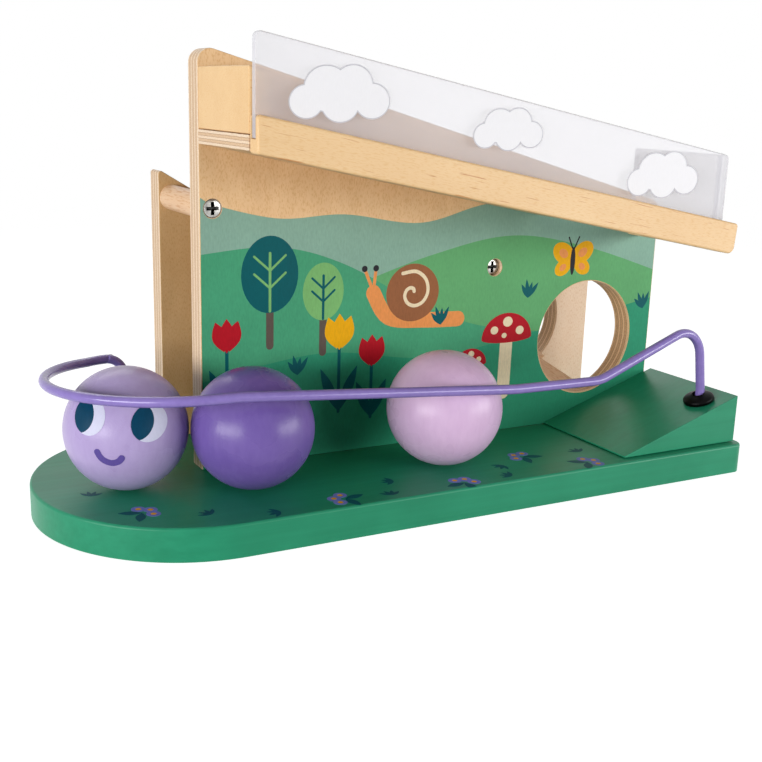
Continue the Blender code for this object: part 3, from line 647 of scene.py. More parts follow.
PANEL_TUFTS = [(-0.040, 0.047, 1.0), (0.026, 0.0625, 1.1), (0.070, 0.071, 0.9), (0.135, 0.062, 1.2)]
PANEL_BLADES = [(0.0085, 0.0020), (0.0073, 0.0020)]*2
BLADE_FAN = 0.4


def curve(points, steps=10):
    """A smooth line through points."""
    line = []
    for index in range(len(points)-1):
        a = Vector(points[max(index-1, 0)])
        b = Vector(points[index])
        c = Vector(points[index+1])
        d = Vector(points[min(index+2, len(points)-1)])
        for step in range(steps):
            t = step/steps
            line.append(0.5*(2*b+(c-a)*t+(2*a-5*b+4*c-d)*t**2+(3*b-a-3*c+d)*t**3))
    return line+[Vector(points[-1])]


def hill(points):
    """The ground under a smooth line, down to the panel's foot."""
    foot = front_low.z
    return curve(points)+[Vector((points[-1][0], foot)), Vector((points[0][0], foot))]


def stroke(points, width, steps=8):
    """The outline of a smooth line drawn with a round pen."""
    line = curve(points, 6)
    ends = [(line[1]-line[0]).normalized(), (line[-1]-line[-2]).normalized()]
    ways = [ends[0]]+[(b-a).normalized() for a, b in zip(line, line[2:])]+[ends[1]]
    left, right = [], []
    for point, way in zip(line, ways):
        across = Vector((-way.y, way.x))*width/2
        left.append(point+across)
        right.append(point-across)
    caps = []
    for end, way in ((line[-1], ends[1]), (line[0], -ends[0])):
        side = Vector((-way.y, way.x))*width/2
        caps.append([end+Matrix.Rotation(-pi*step/steps, 2) @ side for step in range(1, steps)])
    return left+caps[0]+right[::-1]+caps[1]


def dome(u, v, across, up, steps=20):
    """A toadstool cap's outline: half an oval with a shallow belly."""
    points = [(u+across*cos(pi*step/steps), v+up*sin(pi*step/steps)) for step in range(steps+1)]
    return points+[(u-across*cos(pi*step/8), v-0.18*up*sin(pi*step/8)) for step in range(1, 8)]


inks = {name: ink(f"{name}_ink", colour) for name, colour in PANEL_INKS.items()}
inks["yellow"] = yellow_ink
shapes = []


def draw(name, outline):
    """Adds a shape to the picture, in one of its inks."""
    shapes.append((inks[name], outline))


def round_tree(u, v, across, up, crown, vein):
    """A round tree: a trunk, a crown and its branching veins."""
    draw("trunk", stroke([(u, v-up-TREE_FOOT), (u, v-up/2)], TREE_PENS[0]))
    draw(crown, oval(u, v, across, up))
    draw(vein, stroke([(u, v-up*0.95), (u, v+up*0.55)], TREE_PENS[1]))
    for height in (-0.35, 0.10):
        for side in (-1, 1):
            tip = (u+side*across*0.55, v+up*(height+0.38))
            draw(vein, stroke([(u, v+up*height), tip], TREE_PENS[2]))


def tulip(u, v, size, petal, foot):
    """A tulip: stem, two long leaves and a cup of three petals."""
    draw("leaf", stroke([(u, foot), (u, v)], STEM_PEN))
    for side in (-1, 1):
        draw("leaf", leaf(u, foot, (0.72*(v-foot), TULIP_LEAF), pi/2-side*0.42))
        draw(petal, leaf(u+side*size*0.10, v-size*0.2, (size*1.25, size*0.62), pi/2-side*0.30))
    draw(petal, leaf(u, v-size*0.25, (size*1.35, size*0.66), pi/2))


def toadstool(u, foot, height, across):
    """A toadstool: a pale stem under a red cap with pale spots."""
    top = foot+height
    draw("cream", stroke([(u-TOADSTOOL_LEAN, foot), (u, top)], across*0.5))
    draw("red", dome(u, top, across, across*0.86))
    for place, lift, size in TOADSTOOL_SPOTS:
        draw("cream", oval(u+place*across, top+lift*across, size*across, size*across*0.9))


def beside(middle, places, side=1):
    """Places given from a middle, mirrored where the side is -1."""
    return [middle+Vector((side*u, v)) for u, v in places]


for name, line in (("light_hill", LIGHT_HILL), ("middle_hill", MIDDLE_HILL), ("dark_hill", DARK_HILL)):
    draw(name, hill(line))
for tree in TREES:
    round_tree(*tree)
for flower in TULIPS:
    tulip(*flower)
for stool in TOADSTOOLS:
    toadstool(*stool)
draw("snail", stroke(beside(SNAIL, SNAIL_BODY), SNAIL_PEN))
for eye in SNAIL_EYES:
    stalk = beside(SNAIL, [SNAIL_NECK, eye])
    draw("snail", stroke(stalk, STEM_PEN))
    draw("dark", oval(*stalk[1], SNAIL_EYE, SNAIL_EYE))
draw("shell", oval(*SNAIL, *SHELL))
coil = [SNAIL+Matrix.Rotation(COIL_STEP[0]*step, 2) @ Vector((COIL_STEP[1]*step, 0)) for step in range(1, 13)]
draw("cream", stroke(coil, COIL_PEN))
for side in (-1, 1):
    for out, up, tilt, size in WINGS:
        middle = BUTTERFLY+Vector((side*out, up))
        draw("yellow", oval(*middle, *size, side*tilt))
        draw("snail", oval(*middle, size[0]*WING_SPOT, size[1]*WING_SPOT, side*tilt))
    draw("dark", stroke(beside(BUTTERFLY, FEELER, side), FEELER_PEN))
draw("dark", oval(*BUTTERFLY, *BUTTERFLY_BODY))
for u, v, turn in PANEL_TUFTS:
    for number, blade in enumerate(PANEL_BLADES):
        draw("leaf", leaf(u, v, blade, turn+BLADE_FAN*number))

sky = curve(SKY_EDGE)
edges = (front_low.x+PRINT_MARGIN, front_high.x-PRINT_MARGIN)
region = [Vector((edges[0], sky[0].y)), *[p for p in sky if edges[0] < p.x < edges[1]],
          Vector((edges[1], sky[-1].y)), Vector((edges[1], front_low.z)), Vector((edges[0], front_low.z))]
gaps = [oval(hole_x, hole_z, HOLE_RADIUS+PRINT_MARGIN, HOLE_RADIUS+PRINT_MARGIN, 0, HOLE_STEPS)]
for name in numbered("front_dowel_screw"):
    head, _, radius, _, _ = screw_sizes(name)
    gaps.append(oval(head.x, head.z, radius+PRINT_MARGIN, radius+PRINT_MARGIN))
film("panel_print", region, gaps, shapes, lambda x, z, depth: (x, front_low.y-depth, z),
     list(inks.values()), inks["sky"])


# Tunnel ramp: a beech block between the two panels, planed to a slope, with a round tongue in the foot of
# the rear hole. A ball pushed in from behind rolls out over it. Two screws from below hold it.
BEECH = [(238, 200, 160), (226, 184, 142)]
BEECH_PORE = (236, 216, 196)


def bare_wood(name, stretch, tones, pore):
    """Solid wood, sanded and left bare."""
    material, tree, shader, here = start(name)
    colour, line = wood(tree, here, stretch, [srgb(*tone) for tone in tones], pore)
    surface(tree, shader, colour, line, (0.58, 0.42))
    bump(tree, shader, line, 0.15)
    return material


def refinish(node, material):
    """Gives a frame node that stays its finish."""
    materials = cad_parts[node].data.materials
    materials.clear()
    materials.append(material)


beech = bare_wood("beech", (1, 0.10, 1), BEECH, BEECH_PORE)
refinish("tunnel_ramp", beech)


# Spacer dowels: two beech rods turned to size, cut square with their ends just broken, screwed through
# both panels so that they hold the tower's gap.
DOWEL_BREAK = 0.0004
TURNED_STEPS = 48
for number, node in enumerate(("upper_dowel", "lower_dowel"), 1):
    low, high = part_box(node)
    radius = (high.z-low.z)/2
    length = high.y-low.y
    bm = bmesh.new()
    add_turned(bm, [(0, length), (radius-DOWEL_BREAK, length), (radius, length-DOWEL_BREAK),
                    (radius, DOWEL_BREAK), (radius-DOWEL_BREAK, 0), (0, 0)], TURNED_STEPS,
               along(((low.x+high.x)/2, low.y, (low.z+high.z)/2), BACK))
    dowel = piece(f"{node}_rod", bm, beech, [node])
    holes = bmesh.new()
    add_screw_holes(holes, [f"front_dowel_screw_{number}", f"rear_dowel_screw_{number}"])
    drill(dowel, holes)


# Screws: zinc-plated steel, countersunk, with a cross recess. Ten come up through the base, four hold the
# tray and four hold the dowels, and the pairs on the panels' faces show.
CROSS_ARM = 0.70
CROSS_WIDTH = 0.0013
CROSS_DEPTH = 0.0013
CROSS_TAPER = 0.55
HEAD_CROWN = 0.00018
ZINC_DULL = (140, 138, 134)
ZINC_BRIGHT = (192, 190, 185)
ZINC_HAZE = 900
ZINC_GRAIN = 4200
ZINC_RELIEF = 0.0001
# Painted shade: the cross recess is the same zinc, darkened to this share.
RECESS_SHADE = 0.25


def zinc(name, share):
    """Plated steel: bright, with a fine grain and a little dullness in patches; a share below 1 darkens it
    all as painted shade.
    """
    material, tree, shader, here = start(name)
    haze = cloudy(tree, here, ZINC_HAZE)
    dull, bright = [[share*value for value in tone] for tone in (ZINC_DULL, ZINC_BRIGHT)]
    surface(tree, shader, ramp(tree, haze, (0.35, dull), (0.65, bright)), haze, (0.36, 0.24))
    shader.inputs["Metallic"].default_value = 1
    bump(tree, shader, cloudy(tree, here, ZINC_GRAIN, 2), 0.12, ZINC_RELIEF)
    return material


def add_recess(bm, arm, matrix):
    """Adds the cross-shaped hollow of a screw's head, narrower at its floor."""
    slim = CROSS_WIDTH/2
    plus = [(arm, -slim), (arm, slim), (slim, slim), (slim, arm), (-slim, arm), (-slim, slim),
            (-arm, slim), (-arm, -slim), (-slim, -slim), (-slim, -arm), (slim, -arm), (slim, -slim)]
    rings = [[bm.verts.new(matrix @ Vector((u*scale, v*scale, height))) for u, v in plus]
             for height, scale in ((CROSS_DEPTH, 2-CROSS_TAPER), (-CROSS_DEPTH, CROSS_TAPER))]
    for a in range(len(plus)):
        b = (a+1) % len(plus)
        bm.faces.new([rings[0][a], rings[0][b], rings[1][b], rings[1][a]])
    bm.faces.new(rings[0])
    bm.faces.new(rings[1])


steel = zinc("zinc_plate", 1.0)
# The recess's darker zinc is painted shade in the cross.
shaded_steel = zinc("zinc_recess_shaded", RECESS_SHADE)
for name in numbered(*SCREWS):
    head, drive, radius, shank, length = screw_sizes(name)
    cone = SCREW_RIM+radius-shank
    bm = bmesh.new()
    add_turned(bm, [(0, HEAD_CROWN), (radius*0.6, HEAD_CROWN*0.75), (radius*0.93, 0), (radius, -SCREW_RIM/3),
                    (radius, -SCREW_RIM), (shank, -cone), (shank, -length+2*shank), (0, -length)],
               ROUND_STEPS, along(head, -drive))
    screw = piece(f"{name}_turned", bm, steel, [name])
    recess = bmesh.new()
    add_recess(recess, radius*CROSS_ARM, along(head, -drive))
    drill(screw, recess, shaded_steel)


# Tray floor, bridge and stop: a strip of thinner plywood that the balls roll down, a pine bar that carries
# the end window past the drop, and a pine block that closes the high end.
PINE = [(240, 203, 151), (233, 193, 139)]
PINE_PORE = (248, 239, 226)
PINE_STREAK = (208, 152, 108)
PINE_BANDS = 90
PINE_PORES = 2500
PINE_STREAKS = 1500
STREAK_SHARE = 0.75
TRAY_SLOPE = atan(0.2)
FLOOR_THICKNESS = 0.005
FLOOR_PLIES = 5


def pine(name):
    """Knotless pine: pale, with sparse short reddish streaks along the slope of the tray."""
    material, tree, shader, here = start(name)
    turn = (0, TRAY_SLOPE, 0)
    tones = [srgb(*tone) for tone in PINE]
    colour, line = wood(tree, here, (0.16, 1, 1), tones, PINE_PORE, turn, PINE_BANDS, PINE_PORES)
    sparse = cloudy(tree, here, PINE_STREAKS, 2, (0.04, 1, 1), turn)
    streaks = ramp(tree, sparse, (0.645, WHITE), (0.70, PINE_STREAK))
    normal = add(tree, "ShaderNodeNewGeometry", {}).outputs["True Normal"]
    end_grain = maths(tree, "ABSOLUTE", dot(tree, normal, (1, 0, 0)))
    seen = maths(tree, "MULTIPLY", maths(tree, "SUBTRACT", 1.0, end_grain), STREAK_SHARE)
    surface(tree, shader, mixed(tree, seen, colour, streaks, "MULTIPLY"), line, (0.56, 0.42))
    bump(tree, shader, line, 0.12)
    return material


floor_low, floor_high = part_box("tray_floor")
tray_up = (sin(TRAY_SLOPE), 0, cos(TRAY_SLOPE))
floor_depth = floor_high.x*sin(TRAY_SLOPE)+floor_low.z*cos(TRAY_SLOPE)
floor_plywood = plywood("floor_plywood", tray_up, floor_depth, FLOOR_THICKNESS, FLOOR_PLIES)
tray_pine = pine("tray_pine")
refinish("tray_floor", floor_plywood)
refinish("tray_bridge", tray_pine)
refinish("tray_stop", tray_pine)


# Tray rail: a planed pine strip along the front of the tray, its edges rounded over and its low end sawn
# with a slight lean. A groove in its top holds the clear window.
RAIL_END_LEAN = radians(5)
RAIL_HEIGHT = 0.0125
RAIL_RIGHT_FROM_BASE_END = 0.014
RAIL_LOW_EDGE = 0.0942
RAIL_LOW_CORNER = 0.0028
RAIL_TOP_CORNER = 0.0013
RAIL_EASE = 0.0009
GROOVE_DEPTH = 0.008
GROOVE_CLEARANCE = 0.0003
rail_box_low, rail_box_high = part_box("tray_rail")
window_low, window_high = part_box("front_window")
rail_left = rail_box_low.x
rail_right = base_high.x-RAIL_RIGHT_FROM_BASE_END


def rail_low(x):
    """Height of the rail's lower edge, which falls with the tray."""
    return RAIL_LOW_EDGE+(rail_right-x)*tan(TRAY_SLOPE)


def rail_top(x):
    return rail_low(x)+RAIL_HEIGHT/cos(TRAY_SLOPE)


def along_rail(left, right, low, high):
    """Four corners that follow the rail's top, from low to high over it."""
    return [(left, rail_top(left)+low), (right, rail_top(right)+low), (right, rail_top(right)+high),
            (left, rail_top(left)+high)]


lean = tan(RAIL_END_LEAN)*RAIL_HEIGHT/2
outline = rounded([
    (rail_left, rail_low(rail_left), RAIL_TOP_CORNER),
    (rail_right-lean, rail_low(rail_right-lean), RAIL_LOW_CORNER),
    (rail_right+lean, rail_top(rail_right+lean), RAIL_TOP_CORNER),
    (rail_left, rail_top(rail_left), RAIL_TOP_CORNER)], 8)
rail_bar = prism(outline, "y", rail_box_low.y, rail_box_high.y)
rail = piece("pine_rail", rail_bar, tray_pine, ["tray_rail"])
ease(rail, RAIL_EASE, 4)
groove = along_rail(rail_left-CUT_PAST, window_high.x+GROOVE_CLEARANCE, -GROOVE_DEPTH, CUT_PAST)
drill(rail, prism(groove, "y", window_low.y-GROOVE_CLEARANCE, window_high.y+GROOVE_CLEARANCE))


# Windows: two pieces of clear acrylic sheet, slightly hazy, their sawn edges left frosted. The front one
# stands in the rail's groove and the end one on the bridge. Plain white clouds are printed on the front one.
ACRYLIC_TINT = (236, 234, 241)
SAWN_EDGE = (222, 221, 228)
CLOUD_INK = (252, 251, 254)
CLOUD_LINE_INK = (206, 205, 212)
CLOUD_LINE = 0.0004
CLEAR_HAZE = 0.3
SAWN_HAZE = 0.6
ACRYLIC_CLOUD = 60
ACRYLIC_SCUFF = 900
ACRYLIC_SHADE = 0.985
ACRYLIC_GLOSS = 0.2
WINDOW_RISE = 0.026
WINDOW_CORNER = 0.002
WINDOW_EASE = 0.0003
CLOUDS = [(-0.050, 0.013, 1.0), (0.018, 0.015, 0.8), (0.092, 0.0125, 0.95)]
CLOUD_PUFFS = [(-0.0125, -0.0030, 0.0052), (-0.0050, 0.0012, 0.0072), (0.0048, 0.0026, 0.0062),
               (0.0120, -0.0026, 0.0056), (0.0000, -0.0034, 0.0060)]
PUFF_STRETCH = 1.15


def acrylic(name, tint, haze_share, roughness):
    """Acrylic: a faint tint and fine scuffs; a share of it is haze, and the rest is clear."""
    material, tree, shader, here = start(name)
    haze = cloudy(tree, here, ACRYLIC_CLOUD)
    deep = [value*ACRYLIC_SHADE for value in tint]
    surface(tree, shader, ramp(tree, haze, (0.3, deep), (0.7, tint)), haze, roughness, ACRYLIC_GLOSS)
    shader.inputs["Alpha"].default_value = haze_share
    bump(tree, shader, cloudy(tree, here, ACRYLIC_SCUFF, 2), 0.02)
    return material


def pane(name, bm, across, node):
    """One sheet of acrylic: clear faces and frosted sawn edges, just broken; across is its normal."""
    made = piece(name, bm, [clear, frosted], [node])
    ease(made, WINDOW_EASE, 2)
    for face in made.data.polygons:
        face.material_index = 0 if abs(face.normal.dot(Vector(across))) > 0.9 else 1


clear = acrylic("clear_acrylic", ACRYLIC_TINT, CLEAR_HAZE, (0.12, 0.22))
frosted = acrylic("sawn_acrylic", SAWN_EDGE, SAWN_HAZE, (0.5, 0.62))
corners = along_rail(window_low.x, window_high.x, -(GROOVE_DEPTH-GROOVE_CLEARANCE), WINDOW_RISE)
radii = (0, 0, WINDOW_CORNER, WINDOW_CORNER)
outline = rounded([(*corner, radius) for corner, radius in zip(corners, radii)])
pane("front_pane", prism(outline, "y", window_low.y, window_high.y), BACK, "front_window")
end_low, end_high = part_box("end_window")
end_back = window_high.y+GROOVE_CLEARANCE
end_notch = rail_top(end_low.x)+GROOVE_CLEARANCE
outline = [(end_low.y, end_low.z), (end_high.y, end_low.z), (end_high.y, end_high.z),
           (end_back, end_high.z), (end_back, end_notch), (end_low.y, end_notch)]
pane("end_pane", prism(outline, "x", end_low.x, end_high.x), (1, 0, 0), "end_window")
cloud_ink = ink("cloud_ink", CLOUD_INK, 0.985)
cloud_line_ink = ink("cloud_line_ink", CLOUD_LINE_INK, 0.97)
shapes = []
for x, lift, size in CLOUDS:
    for shown, line in ((cloud_line_ink, CLOUD_LINE), (cloud_ink, 0)):
        for across, up, radius in CLOUD_PUFFS:
            wide = radius*size*PUFF_STRETCH+line
            puff = oval(x+across*size, rail_top(x)+lift+up*size, wide, radius*size+line)
            shapes.append((shown, puff))
region = along_rail(window_low.x+WINDOW_CORNER, window_high.x-WINDOW_CORNER, 0, WINDOW_RISE-WINDOW_CORNER)
film("cloud_print", region, [], shapes, lambda x, z, depth: (x, window_low.y-depth, z),
     [cloud_ink, cloud_line_ink])


# Bushings: two domed collars moulded in black rubber, pushed over the wire's feet so that they cover the
# holes in the wedge and the base.
BUSHING_RADIUS = 0.0065
BUSHING_HEIGHT = 0.0036
BUSHING_RIM = 0.0012
BUSHING_LIP = 0.0003
BUSHING_BORE = 0.0022
RUBBER = (2, 2, 2)
DUSTY_RUBBER = (7, 7, 7)
RUBBER_DUST = 420
RUBBER_GRAIN = 2600
RUBBER_GLOSS = 0.08


def rubber(name):
    """Black moulded rubber: a soft sheen, dust-grey in patches, with a fine matt grain."""
    material, tree, shader, here = start(name)
    dust = cloudy(tree, here, RUBBER_DUST)
    colour = ramp(tree, dust, (0.35, RUBBER), (0.75, DUSTY_RUBBER))
    surface(tree, shader, colour, dust, (0.28, 0.40), RUBBER_GLOSS)
    bump(tree, shader, cloudy(tree, here, RUBBER_GRAIN, 2), 0.10)
    return material


def bushing(node, seat, tilt):
    """A domed collar seated on a face, tilted with it; the wire goes up through its bore."""
    profile = [(BUSHING_BORE, BUSHING_HEIGHT-BUSHING_LIP), (BUSHING_BORE+BUSHING_LIP, BUSHING_HEIGHT)]
    for step in range(6, 17):
        angle = pi/2*step/16
        profile.append((BUSHING_RADIUS*sin(angle), BUSHING_RIM+(BUSHING_HEIGHT-BUSHING_RIM)*cos(angle)))
    profile += [(BUSHING_RADIUS, BUSHING_LIP), (BUSHING_RADIUS-BUSHING_LIP, 0), (BUSHING_BORE, 0),
                (BUSHING_BORE, BUSHING_HEIGHT-BUSHING_LIP)]
    bm = bmesh.new()
    raise_up = Matrix.Translation((0, 0, SCREW_CLEARANCE))
    tilted = Matrix.Translation(seat) @ Matrix.Rotation(-tilt, 4, "Y")
    add_turned(bm, profile, TURNED_STEPS, tilted @ raise_up)
    piece(f"{node}_collar", bm, black_rubber, [node])


black_rubber = rubber("black_rubber")
bushing("wedge_bushing", (wire_foot_x, wire_foot_y, wire_foot_seat), atan(wedge_rise))
bushing("base_bushing", (wire_back_foot.x, wire_back_foot.y, base_high.z), 0)


# Guard wire: one steel wire with a purple plastic coat, bent up from the wedge over a peak, down to the
# lane, along it, round the nose over the head ball and down into the base behind it.
WIRE_COAT = (137, 117, 191)
WIRE_COAT_DEEP = (127, 107, 181)
WIRE_RADIUS = 0.0019
WIRE_FOOT_DEPTH = 0.010
WIRE_INSET = 0.007
WIRE_BEND = 0.0075
WIRE_KNEE = 0.0055
WIRE_KNEE_BEND = 0.010
WIRE_PEAK = 0.0285
WIRE_PEAK_LEAN = 0.0044
WIRE_PEAK_BEND = 0.012
WIRE_DIP = 0.0102
WIRE_DIP_FROM_FOOT = 0.0611
WIRE_DIP_OUT = 0.0066
WIRE_DIP_BEND = 0.020
WIRE_RUN_START = 0.0111
WIRE_RUN_FROM_FOOT = 0.1033
WIRE_RUN_BEND = 0.080
WIRE_NOSE_FRONT = 0.0199
WIRE_NOSE_BACK = 0.0127
WIRE_NOSE_EASE = 1.4
WIRE_NOSE_TURN = radians(150)
WIRE_TURN_IN = 0.006
WIRE_TURN_BEND = 0.020
WIRE_BACK_REACH = 0.0110
NOSE_STEPS = 60
BEND_STEPS = 16
pink_low, pink_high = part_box("ball_pink")
ball_z = (pink_low.z+pink_high.z)/2
nose_x = base_low.x+base_half
wire_y = base_low.y+WIRE_INSET
nose_bends = []
for step in range(NOSE_STEPS+1):
    share = step/NOSE_STEPS
    angle = -pi/2-WIRE_NOSE_TURN*share
    height = WIRE_NOSE_FRONT+(WIRE_NOSE_BACK-WIRE_NOSE_FRONT)*share**WIRE_NOSE_EASE
    nose_bends.append((Vector((nose_x-wire_y*cos(angle), -wire_y*sin(angle), ball_z+height)), 0))
foot = Vector((wire_foot_x, wire_foot_y, wire_foot_seat-WIRE_FOOT_DEPTH))
knee = Vector((wire_foot_x, wire_foot_y, wire_foot_seat+WIRE_KNEE))
peak = Vector((wire_foot_x-WIRE_PEAK_LEAN, wire_foot_y, ball_z+WIRE_PEAK))
dip = Vector((wire_foot_x-WIRE_DIP_FROM_FOOT, wire_foot_y-WIRE_DIP_OUT, ball_z+WIRE_DIP))
run_start = Vector((wire_foot_x-WIRE_RUN_FROM_FOOT, wire_y, ball_z+WIRE_RUN_START))
turn_in = nose_bends[-1][0]+WIRE_TURN_IN*Vector((-cos(WIRE_NOSE_TURN), sin(WIRE_NOSE_TURN), 0))
back_top = turn_in+Vector((WIRE_BACK_REACH, 0, 0))
back_foot = Vector((back_top.x, back_top.y, base_high.z-WIRE_FOOT_DEPTH))
route = [(foot, 0), (knee, WIRE_KNEE_BEND), (peak, WIRE_PEAK_BEND), (dip, WIRE_DIP_BEND),
         (run_start, WIRE_RUN_BEND), *nose_bends, (turn_in, WIRE_TURN_BEND), (back_top, WIRE_BEND),
         (back_foot, 0)]
places = [place for place, _ in route]
bends = []
for before, (here, radius), after in zip(places[:1]+places, route, places[1:]+places[-1:]):
    bends += bend(before, here, after, radius, BEND_STEPS, 4)
purple_coat = paint("purple_coat", WIRE_COAT, WIRE_COAT_DEEP, (1, 1, 1), (0.18, 0.26), 2200, 0.5)
wire_line = bpy.data.curves.new("coated_wire", "CURVE")
wire_line.dimensions = "3D"
wire_line.bevel_depth = WIRE_RADIUS
wire_line.bevel_resolution = 6
wire_line.use_fill_caps = True
spline = wire_line.splines.new("POLY")
spline.points.add(len(bends)-1)
for knot, place in zip(spline.points, bends):
    knot.co = (*place, 1)
wire_line.materials.append(purple_coat)
wire = put("coated_wire", wire_line)
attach(wire, "run")
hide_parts("guard_wire")


# Balls: three loose wooden balls, turned, sanded not quite true and sprayed with satin paint: lilac for the
# head, purple behind it and pink for the last one.
BALL_PAINTS = {"head": ("lilac_paint", (179, 162, 208), (171, 153, 201)),
               "purple": ("purple_paint", (116, 94, 167), (108, 86, 160)),
               "pink": ("pink_paint", (220, 188, 222), (213, 179, 215))}
BALL_WAVE = 0.00006
BALL_WAVES = 3
BALL_CUTS = 31


def ball(body):
    """One turned ball: a cube's faces divided and drawn out to a sphere, with a slight waviness."""
    low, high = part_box(f"ball_{body}")
    centre = (low+high)/2
    radius = (high.z-low.z)/2
    slot, bright, deep = BALL_PAINTS[body]
    bm = bmesh.new()
    bmesh.ops.create_cube(bm, size=2)
    bmesh.ops.subdivide_edges(bm, edges=bm.edges, cuts=BALL_CUTS, use_grid_fill=True)
    for corner in bm.verts:
        way = Vector([tan(pi/4*value) for value in corner.co]).normalized()
        corner.co = centre+way*(radius-BALL_WAVE*(1+noise.noise(BALL_WAVES*way))/2)
    coat = paint(f"{body}_paint", bright, deep, (1, 1, 0.3), (0.24, 0.33), 1700, 0.27, 0.24)
    piece(f"{body}_ball", bm, coat, [f"ball_{body}"], body)
    return centre, radius


head_centre, head_radius = ball("head")
ball("purple")
ball("pink")


# Face of the head ball: two oval eyes that look aside and a short smile, pad-printed on the paint in white,
# dark teal and violet inks, so it lies on the ball as a thin film and moves with it.
FACE_AZIMUTH = radians(-26)
FACE_RISE = radians(8)
FACE_ROLL = radians(8)
EYE_PLACES = [(-0.0104, 0.0054), (0.0104, 0.0062)]
EYE_SIZE = (0.00585, 0.0066)
PUPIL_SHIFT = 0.0042
SMILE = [(-0.0058, -0.0063), (-0.0038, -0.0086), (-0.0006, -0.0095), (0.0019, -0.0086), (0.0030, -0.0071)]
SMILE_WIDTH = 0.0023
EYE_WHITE = (212, 213, 236)
PUPIL_INK = (8, 64, 92)
SMILE_INK = (96, 80, 154)
FACE_STEP = 0.0012
FACE_REACH = 0.0198
level = Vector((cos(FACE_AZIMUTH), sin(FACE_AZIMUTH), 0))
ahead = Vector((sin(FACE_AZIMUTH)*cos(FACE_RISE), -cos(FACE_AZIMUTH)*cos(FACE_RISE), sin(FACE_RISE)))
upright = ahead.cross(level)
face_right = level*cos(FACE_ROLL)-upright*sin(FACE_ROLL)
face_up = upright*cos(FACE_ROLL)+level*sin(FACE_ROLL)


def on_head(u, v, depth):
    """A point of the face, seen straight on, carried to the ball's surface."""
    out = face_right*u+face_up*v+ahead*sqrt(head_radius**2-u*u-v*v)
    return head_centre+out*(1+depth/head_radius)


def lens(u, v, across, up, shift, steps=16):
    """What an oval shares with the same oval moved to the left."""
    reach = acos(shift/2/across)
    points = []
    for middle, centre in ((0, u-shift), (pi, u)):
        for step in range(steps):
            angle = middle+reach*(2*step/steps-1)
            points.append((centre+across*cos(angle), v+up*sin(angle)))
    return points


eye_ink = ink("eye_ink", EYE_WHITE, 0.97)
pupil_ink = ink("pupil_ink", PUPIL_INK)
smile_ink = ink("smile_ink", SMILE_INK)
shapes = [(smile_ink, stroke(SMILE, SMILE_WIDTH))]
for place in EYE_PLACES:
    shapes.append((eye_ink, oval(*place, *EYE_SIZE)))
    shapes.append((pupil_ink, lens(*place, *EYE_SIZE, PUPIL_SHIFT)))
count = int(FACE_REACH/FACE_STEP)
grid = [(FACE_STEP*i, FACE_STEP*j) for i in range(-count, count+1) for j in range(-count, count+1)
        if (FACE_STEP*i)**2+(FACE_STEP*j)**2 < FACE_REACH**2]
film("head_face", oval(0, 0, FACE_REACH, FACE_REACH), [], shapes, on_head, [eye_ink, pupil_ink, smile_ink],
     body="head", grid=grid)


# Studio: a plain white floor that keeps a soft shadow, two soft boxes low at the left and the right, a
# weaker one high behind, and the camera at the photographed angle.
CAMERA_PLACE = (-0.2280, -0.4045, 0.1581)
CAMERA_YAW = radians(26.71)
CAMERA_PITCH = radians(15.1)
CAMERA_ROLL = radians(1.0)
LENS = 54.39
SHIFT = (0.0657, 0.0218)
FLOOR_SIZE = 12.0
FLOOR_GLOW = 0.80
FLOOR_FADE = (0.35, 0.9)
FLOOR_DROP = 0.0002
FLOOR_SPECKLE = 90
FLOOR_TONES = [(214, 214, 214), (220, 220, 220)]
AMBIENT = 0.15
LAMP_AIM = Vector((0, 0, 0.05))
SENSOR = 36
SOFT_BOX = (0.9, 0.30)
LAMPS = {"left_box": (-68, 6, 1.1, 10.5), "right_box": (45, 6, 1.1, 8), "back_box": (170, 40, 1.1, 2.5)}


def backdrop_share(tree):
    """1 for rays that should see the plain white background, 0 for light that reaches the object."""
    path = add(tree, "ShaderNodeLightPath", {})
    shiny = maths(tree, "MAXIMUM", path.outputs["Is Glossy Ray"], path.outputs["Is Transmission Ray"])
    return maths(tree, "MAXIMUM", path.outputs["Is Camera Ray"], shiny)


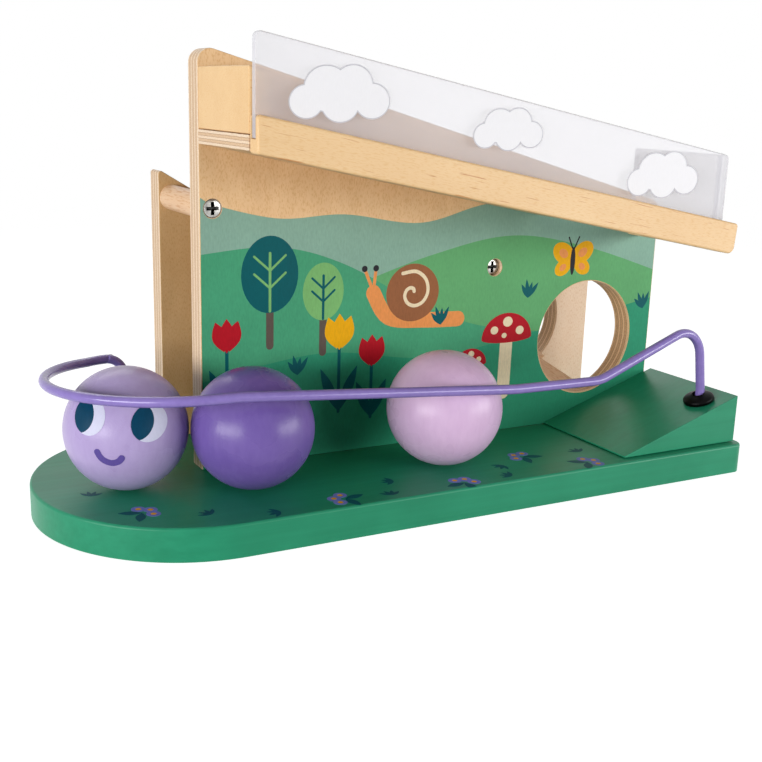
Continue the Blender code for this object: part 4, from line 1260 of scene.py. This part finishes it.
floor_material, tree, shader, here = start("studio_floor")
shader.inputs["Roughness"].default_value = 0.9
shader.inputs["Specular IOR Level"].default_value = 0
speckle = ramp(tree, cloudy(tree, here, FLOOR_SPECKLE), (0.3, FLOOR_TONES[0]), (0.7, FLOOR_TONES[1]))
off = add(tree, "ShaderNodeVectorMath", {0: here}, operation="LENGTH").outputs["Value"]
far = rescale(tree, off, FLOOR_FADE)
tree.links.new(mixed(tree, far, speckle, (0, 0, 0, 1)), shader.inputs["Base Color"])
shader.inputs["Emission Color"].default_value = (1, 1, 1, 1)
glow = rescale(tree, far, (0, 1), (FLOOR_GLOW, 1))
tree.links.new(maths(tree, "MULTIPLY", backdrop_share(tree), glow), shader.inputs["Emission Strength"])
bm = bmesh.new()
bmesh.ops.create_grid(bm, x_segments=4, y_segments=4, size=FLOOR_SIZE/2)
studio_floor = put("studio_floor", mesh_of("studio_floor", bm))
studio_floor.location.z = base_low.z-FLOOR_DROP
studio_floor.data.materials.append(floor_material)

world = bpy.data.worlds.new("studio_world")
world.use_nodes = True
bpy.context.scene.world = world
tree = world.node_tree
background = tree.nodes["Background"]
background.inputs["Color"].default_value = (1, 1, 1, 1)
level_of_light = rescale(tree, backdrop_share(tree), (0, 1), (AMBIENT, 1))
tree.links.new(level_of_light, background.inputs["Strength"])

for name, (azimuth, rise, distance, power) in LAMPS.items():
    bearing = radians(azimuth)
    climb = radians(rise)
    away = Vector((sin(bearing)*cos(climb), -cos(bearing)*cos(climb), sin(climb)))
    lamp = bpy.data.lights.new(name, "AREA")
    lamp.shape = "RECTANGLE"
    lamp.size, lamp.size_y = SOFT_BOX
    lamp.energy = power
    stand = put(name, lamp)
    stand.location = LAMP_AIM+away*distance
    stand.rotation_euler = away.to_track_quat("Z", "Y").to_euler()

camera = put("camera", bpy.data.cameras.new("camera"))
camera.data.sensor_width = SENSOR
camera.data.lens = LENS
camera.data.shift_x, camera.data.shift_y = SHIFT
camera.data.clip_start = 0.01
turn = (Matrix.Rotation(-CAMERA_YAW, 4, "Z") @ Matrix.Rotation(pi/2-CAMERA_PITCH, 4, "X")
        @ Matrix.Rotation(CAMERA_ROLL, 4, "Z"))
camera.matrix_world = Matrix.Translation(CAMERA_PLACE) @ turn
bpy.context.scene.camera = camera
bpy.context.scene.view_settings.view_transform = "Standard"
